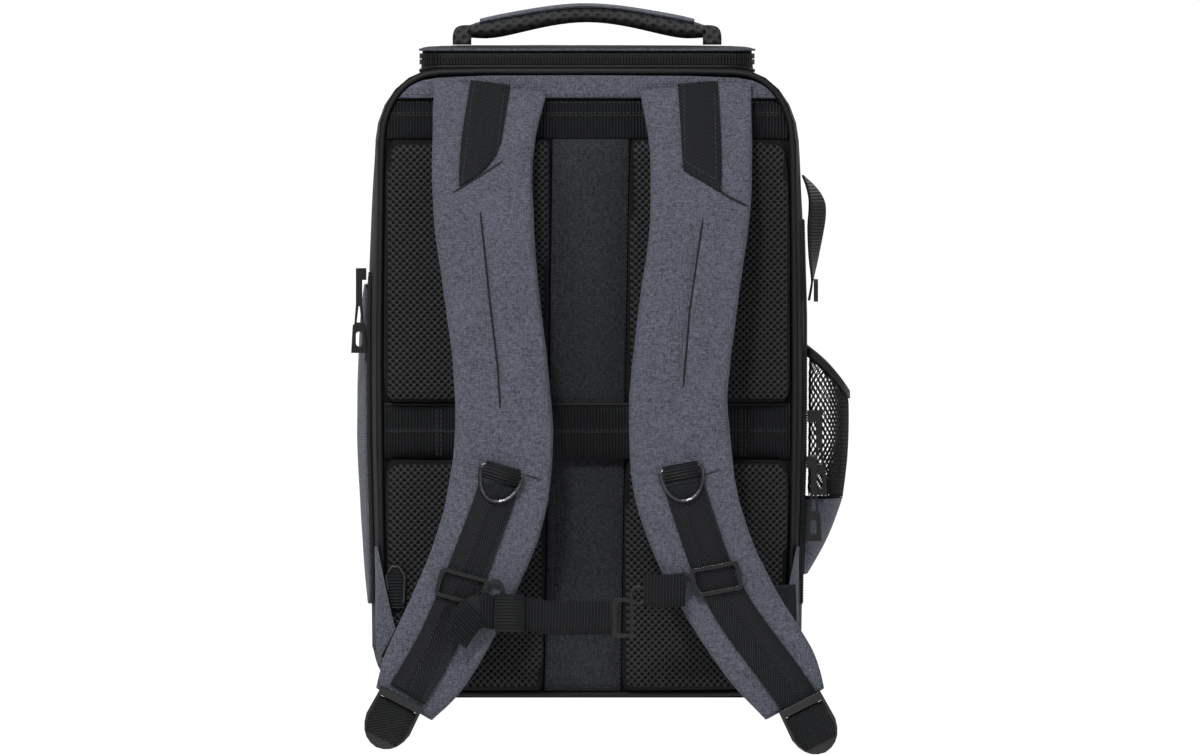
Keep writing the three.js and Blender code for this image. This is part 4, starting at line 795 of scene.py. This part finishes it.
# %% Plastic and metal fittings
FITTINGS = {
    "plastic": ["sternum_slide_left", "sternum_slide_right", "ladder_lock_left", "ladder_lock_right",
                "sternum_buckle", "side_buckle_right", "zip_pull_left", "zip_pull_right_upper",
                "zip_pull_right_lower"],
    "metal": ["d_ring_left", "d_ring_right"],
}
for finish, nodes in FITTINGS.items():
    for node in nodes:
        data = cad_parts[node].data
        data.materials.clear()
        data.materials.append(MATS[finish])
print("fittings", sum(len(nodes) for nodes in FITTINGS.values()))

# %% [markdown]
# ## Bottle pocket net
# The pocket's net is real netting with open holes, so that what lies behind shows through it. It follows the
# CAD shell: rays from the right find the surface, and the diamonds are thickened into strands as on the pads,
# but stay angular.

# %% Open netting
# the rows of knots are 3.1 mm apart, a little more than the real ones, so that the holes stay open in the
# picture
NET_RISE = 3.1
NET_ROWS = 40
NET_AROUND = 64  # half diamonds round the pocket
NET_MARGIN = 0.4
NET_STRAND = 1.6


def side_reader(obj, sign):
    """Reads a piece's surface from one side of the bag: (forward, up) in mm gives a point and its normal."""
    faces = [list(p.vertices) for p in obj.data.polygons]
    tree = BVHTree.FromPolygons([v.co for v in obj.data.vertices], faces)

    def read(y, up):
        start = Vector((sign * BESIDE, y * MM, BASE_Z + up * MM))
        hit, normal, _, _ = tree.ray_cast(start, Vector((-sign, 0, 0)))
        return None if hit is None else (hit, normal if normal.x * sign > 0 else -normal)
    return read


net_shell = rounded_copy("bottle_pocket_net", 1)
read_net = side_reader(net_shell, 1)
low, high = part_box("bottle_pocket_net")
middle, half = (low[1] + high[1]) / 2 / MM, (high[1] - low[1]) / 2 / MM - NET_MARGIN
rows_up = [(low[2] - BASE_Z) / MM + NET_MARGIN + NET_RISE * k for k in range(NET_ROWS)]
places, points, faces = {}, [], []
for j, up in enumerate(rows_up):
    for i in range(NET_AROUND + 1):
        found = read_net(middle - half * math.cos(math.pi * i / NET_AROUND), up)
        if found is not None:
            places[i, j] = len(points)
            points.append(found[0])
for j in range(1, len(rows_up) - 1):
    for i in range(1, NET_AROUND):
        quad = [places.get(key) for key in ((i - 1, j), (i, j - 1), (i + 1, j), (i, j + 1))]
        if (i + j) % 2 and None not in quad:
            faces.append(tuple(quad))
bpy.data.objects.remove(net_shell)
netting = new_object("pocket_netting", points, faces)
strands = netting.modifiers.new("Strands", "WIREFRAME")
strands.thickness = NET_STRAND * MM
strands.use_even_offset = False
settle(netting)
finished(netting, "pocket_netting", "strand", ["bottle_pocket_net"], sharp=80)
print("pocket netting", len(netting.data.polygons), "faces")


# %% [markdown]
# ## Zips
# A coil zip is two rows of nylon loops. The lid's zip runs round its whole edge between a thin melange seam
# above and the body below; the side zips run up beside the piping. Each loop is one small block, a grey cord
# marks the seam above the lid's coil, and a black tape closes the foot of the lid's band against the body.

# %% Zip coils
# the lid's edge in mm: half its width and depth, its corners' radius and how far its middle lies forward
LID_HALF_X, LID_HALF_Y, LID_RADIUS, LID_CENTRE_Y = 125.5, 64, 24, 35
LID_EDGE = 488.0
LID_COILS = (-5.2, -9.6)  # the two rows, above the lid's edge
LID_TOOTH = (0.75, 0.55, 1.9)  # half sizes along, out and up
LID_TOOTH_PITCH = 2.3
SIDE_COILS = (-19.6, -16.4)  # the two rows, forward of the bag's middle
SIDE_TOOTH = (0.6, 0.5, 1.4)
SIDE_TOOTH_PITCH = 2.0
ZIP_END = 2  # the coil stops this far from the tape's ends
ROOF_FLAT, ROOF_CENTRE, ROOF_RADIUS = 108, 418, 56


def lid_outline(grow, steps=9):
    """Points and outward ways round the lid's edge, at even small steps."""
    half_x, half_y, radius = LID_HALF_X + grow, LID_HALF_Y + grow, LID_RADIUS + grow
    corners = [(half_x - radius, half_y - radius, 0), (-half_x + radius, half_y - radius, 90),
               (-half_x + radius, -half_y + radius, 180), (half_x - radius, -half_y + radius, 270)]
    path = []
    for x, y, start in corners:
        for k in range(steps + 1):
            angle = math.radians(start + 90 * k / steps)
            path.append((x + radius * math.cos(angle), LID_CENTRE_Y + y + radius * math.sin(angle)))
    return path + [path[0]]


def round_path(path, pitch):
    """Even places along a flat path in mm, each with its way along it."""
    made = []
    for place, onward in zip(evenly(path, pitch), evenly(path, pitch)[1:]):
        made.append((place, (onward - place).normalized()))
    return made


coil = Bits()
lid_edge = BASE_Z + LID_EDGE * MM
for place, way in round_path(lid_outline(0.1), LID_TOOTH_PITCH):
    along = Vector((way.x, way.y, 0))
    out = Vector((way.y, -way.x, 0))
    for up in LID_COILS:
        centre = Vector((place.x * MM, place.y * MM, lid_edge + up * MM)) + out * 0.25 * MM
        coil.box(centre, (along, out, Vector((0, 0, 1))), [size * MM for size in LID_TOOTH])
for node, sign in (("zip_left", -1), ("zip_right", 1)):
    read_zip = side_reader(soft[node], sign)
    low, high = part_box(node)
    up = (low[2] - BASE_Z) / MM + ZIP_END
    while up < (high[2] - BASE_Z) / MM - ZIP_END:
        for y in SIDE_COILS:
            found = read_zip(y, up)
            if found:
                axes = (Vector((0, 0, 1)), found[1], Vector((0, 1, 0)))
                coil.box(found[0], axes, [size * MM for size in SIDE_TOOTH])
        up += SIDE_TOOTH_PITCH
coil.build("zip_coils", "coil")
lid_seam = Bits()
seam_path = [Vector((x * MM, y * MM, lid_edge - 0.4 * MM)) for x, y in lid_outline(0.6)]
lid_seam.tube(seam_path, 1.0 * MM, 6, 1.0)
lid_seam.build("lid_seam_cord", "heather")


def roof(x):
    """Height of the body's top in mm: flat in the middle and falling over its round corners."""
    over = max(abs(x) - ROOF_FLAT, 0)
    return ROOF_CENTRE + math.sqrt(ROOF_RADIUS ** 2 - over ** 2)


# the tape that closes the zip band against the body, all the way round its foot
lid_foot = Bits()
foot_line = evenly(lid_outline(0), 5)
foot_path = [Vector((p.x * MM, p.y * MM, BASE_Z + (roof(p.x) + 0.7) * MM)) for p in foot_line]
lid_foot.tube(foot_path, 1.5 * MM, 6, 1.0)
lid_foot.build("lid_foot_tape", "binding")

# %% [markdown]
# ## Seams and stitches
# Thread is what holds this bag together, so it is laid where the photo shows it: along the webbing edges, in
# lines where the bands are sewn down and across the straps. Each stitch is a small tube that dips into the
# cloth at both ends. Thin dark cords, sunk into the cloth, are painted shade along the seams, creases and
# band edges, and one in the thread's colour marks the folded edge of the tongue beside the left wing.

# %% Stitch rows
BOTH_STRAPS = ["shoulder_strap_left", "shoulder_strap_right"]
STITCHES = [
    {"on": ["top_webbing"], "line": [(-150, 440), (150, 440)]},
    {"on": ["top_webbing"], "line": [(-150, 448), (150, 448)]},
    {"on": ["luggage_webbing"], "line": [(-152, 201.5), (152, 201.5)]},
    {"on": ["luggage_webbing"], "line": [(-110, 182), (-110, 220)]},
    {"on": ["luggage_webbing"], "line": [(-113, 182), (-113, 220)]},
    {"on": ["luggage_webbing"], "line": [(116, 182), (116, 220)]},
    {"on": ["luggage_webbing"], "line": [(119, 182), (119, 220)]},
    {"on": ["upper_webbing_left"], "line": [(-86, 458), (-94, 385), (-69, 399), (-62, 458)]},
    {"on": ["upper_webbing_right"], "line": [(73, 458), (73.5, 404), (97, 390), (96, 458)]},
    {"on": ["lower_webbing_left"], "line": [(-72, 150), (-90, 97), (-106, 72), (-133, 8)]},
    {"on": ["lower_webbing_right"], "line": [(75, 146), (88, 103), (102, 79), (153, 7)]},
    {"on": BOTH_STRAPS, "line": [(-100.5, 379.5), (-60, 405)]},
    {"on": BOTH_STRAPS, "line": [(70, 400), (106, 376), (121, 368)]},
    {"on": BOTH_STRAPS, "line": [(-45, 167), (-32, 163)]},
    {"on": ["centre_column"], "line": [(-22, 410), (-27, 12)]},
    {"on": ["centre_column"], "line": [(31, 410), (25, 12)]},
    {"on": ["yoke"], "line": [(-140, 454), (140, 454)]},
]
thread = Bits()
readers = {}
for row in STITCHES:
    key = tuple(row["on"])
    readers.setdefault(key, reader(*[soft[node] for node in key]))
    stitch_row(thread, readers[key], row["line"])
thread.build("thread_rows", "thread")

# %% Seam cords: painted shade along seams and creases
seams = Bits()
# dark cords sunk into seams, creases and band edges: painted shade where the cloth dips along these lines
SEAM_SHADE_LINES = [
    {"on": BOTH_STRAPS, "line": [(-100.5, 380.5), (-60, 406)], "radius": 0.9},
    {"on": BOTH_STRAPS, "line": [(70, 401.5), (106, 377.5), (122, 369.5)], "radius": 0.9},
    {"on": BOTH_STRAPS, "line": [(-46, 169), (-31, 164.5)], "radius": 0.6},
    {"on": BOTH_STRAPS, "line": [(-80, 366), (-73, 300), (-67, 250), (-65, 217)], "radius": 0.8},
    {"on": BOTH_STRAPS, "line": [(87, 361.5), (77, 292), (72, 232.5)], "radius": 0.8},
    {"on": BOTH_STRAPS, "line": [(85, 168), (103, 174)], "radius": 0.6},
    {"on": ["luggage_webbing"], "line": [(-153, 221), (153, 221)], "radius": 0.8},
    {"on": ["luggage_webbing"], "line": [(-153, 200), (153, 200)], "radius": 0.5},
    {"on": ["top_webbing"], "line": [(-150, 438), (150, 438)], "radius": 0.5},
    {"on": ["lower_webbing_left"], "line": [(-72, 150), (-90, 97), (-106, 72), (-135, 8)], "radius": 0.45},
    {"on": ["lower_webbing_right"], "line": [(75, 146), (88, 103), (102, 79), (153, 7)], "radius": 0.45},
]
for row in SEAM_SHADE_LINES:
    key = tuple(row["on"])
    readers.setdefault(key, reader(*[soft[node] for node in key]))
    seam_cord(seams, readers[key], row["line"], row["radius"], sink=row["radius"] * 0.8)
seams.build("seam_shade_cords", "binding")

# the folded edge of the tongue beside the left wing is a shade lighter than its face
tongue = Bits()
tongue_line = [(-148, 68), (-151, 92), (-147, 99), (-141, 99), (-137, 92), (-138, 69)]
seam_cord(tongue, reader(soft["wing_tab_left"]), tongue_line, 0.8, sink=0.3, step=2.5)
tongue.build("tongue_edge", "thread")
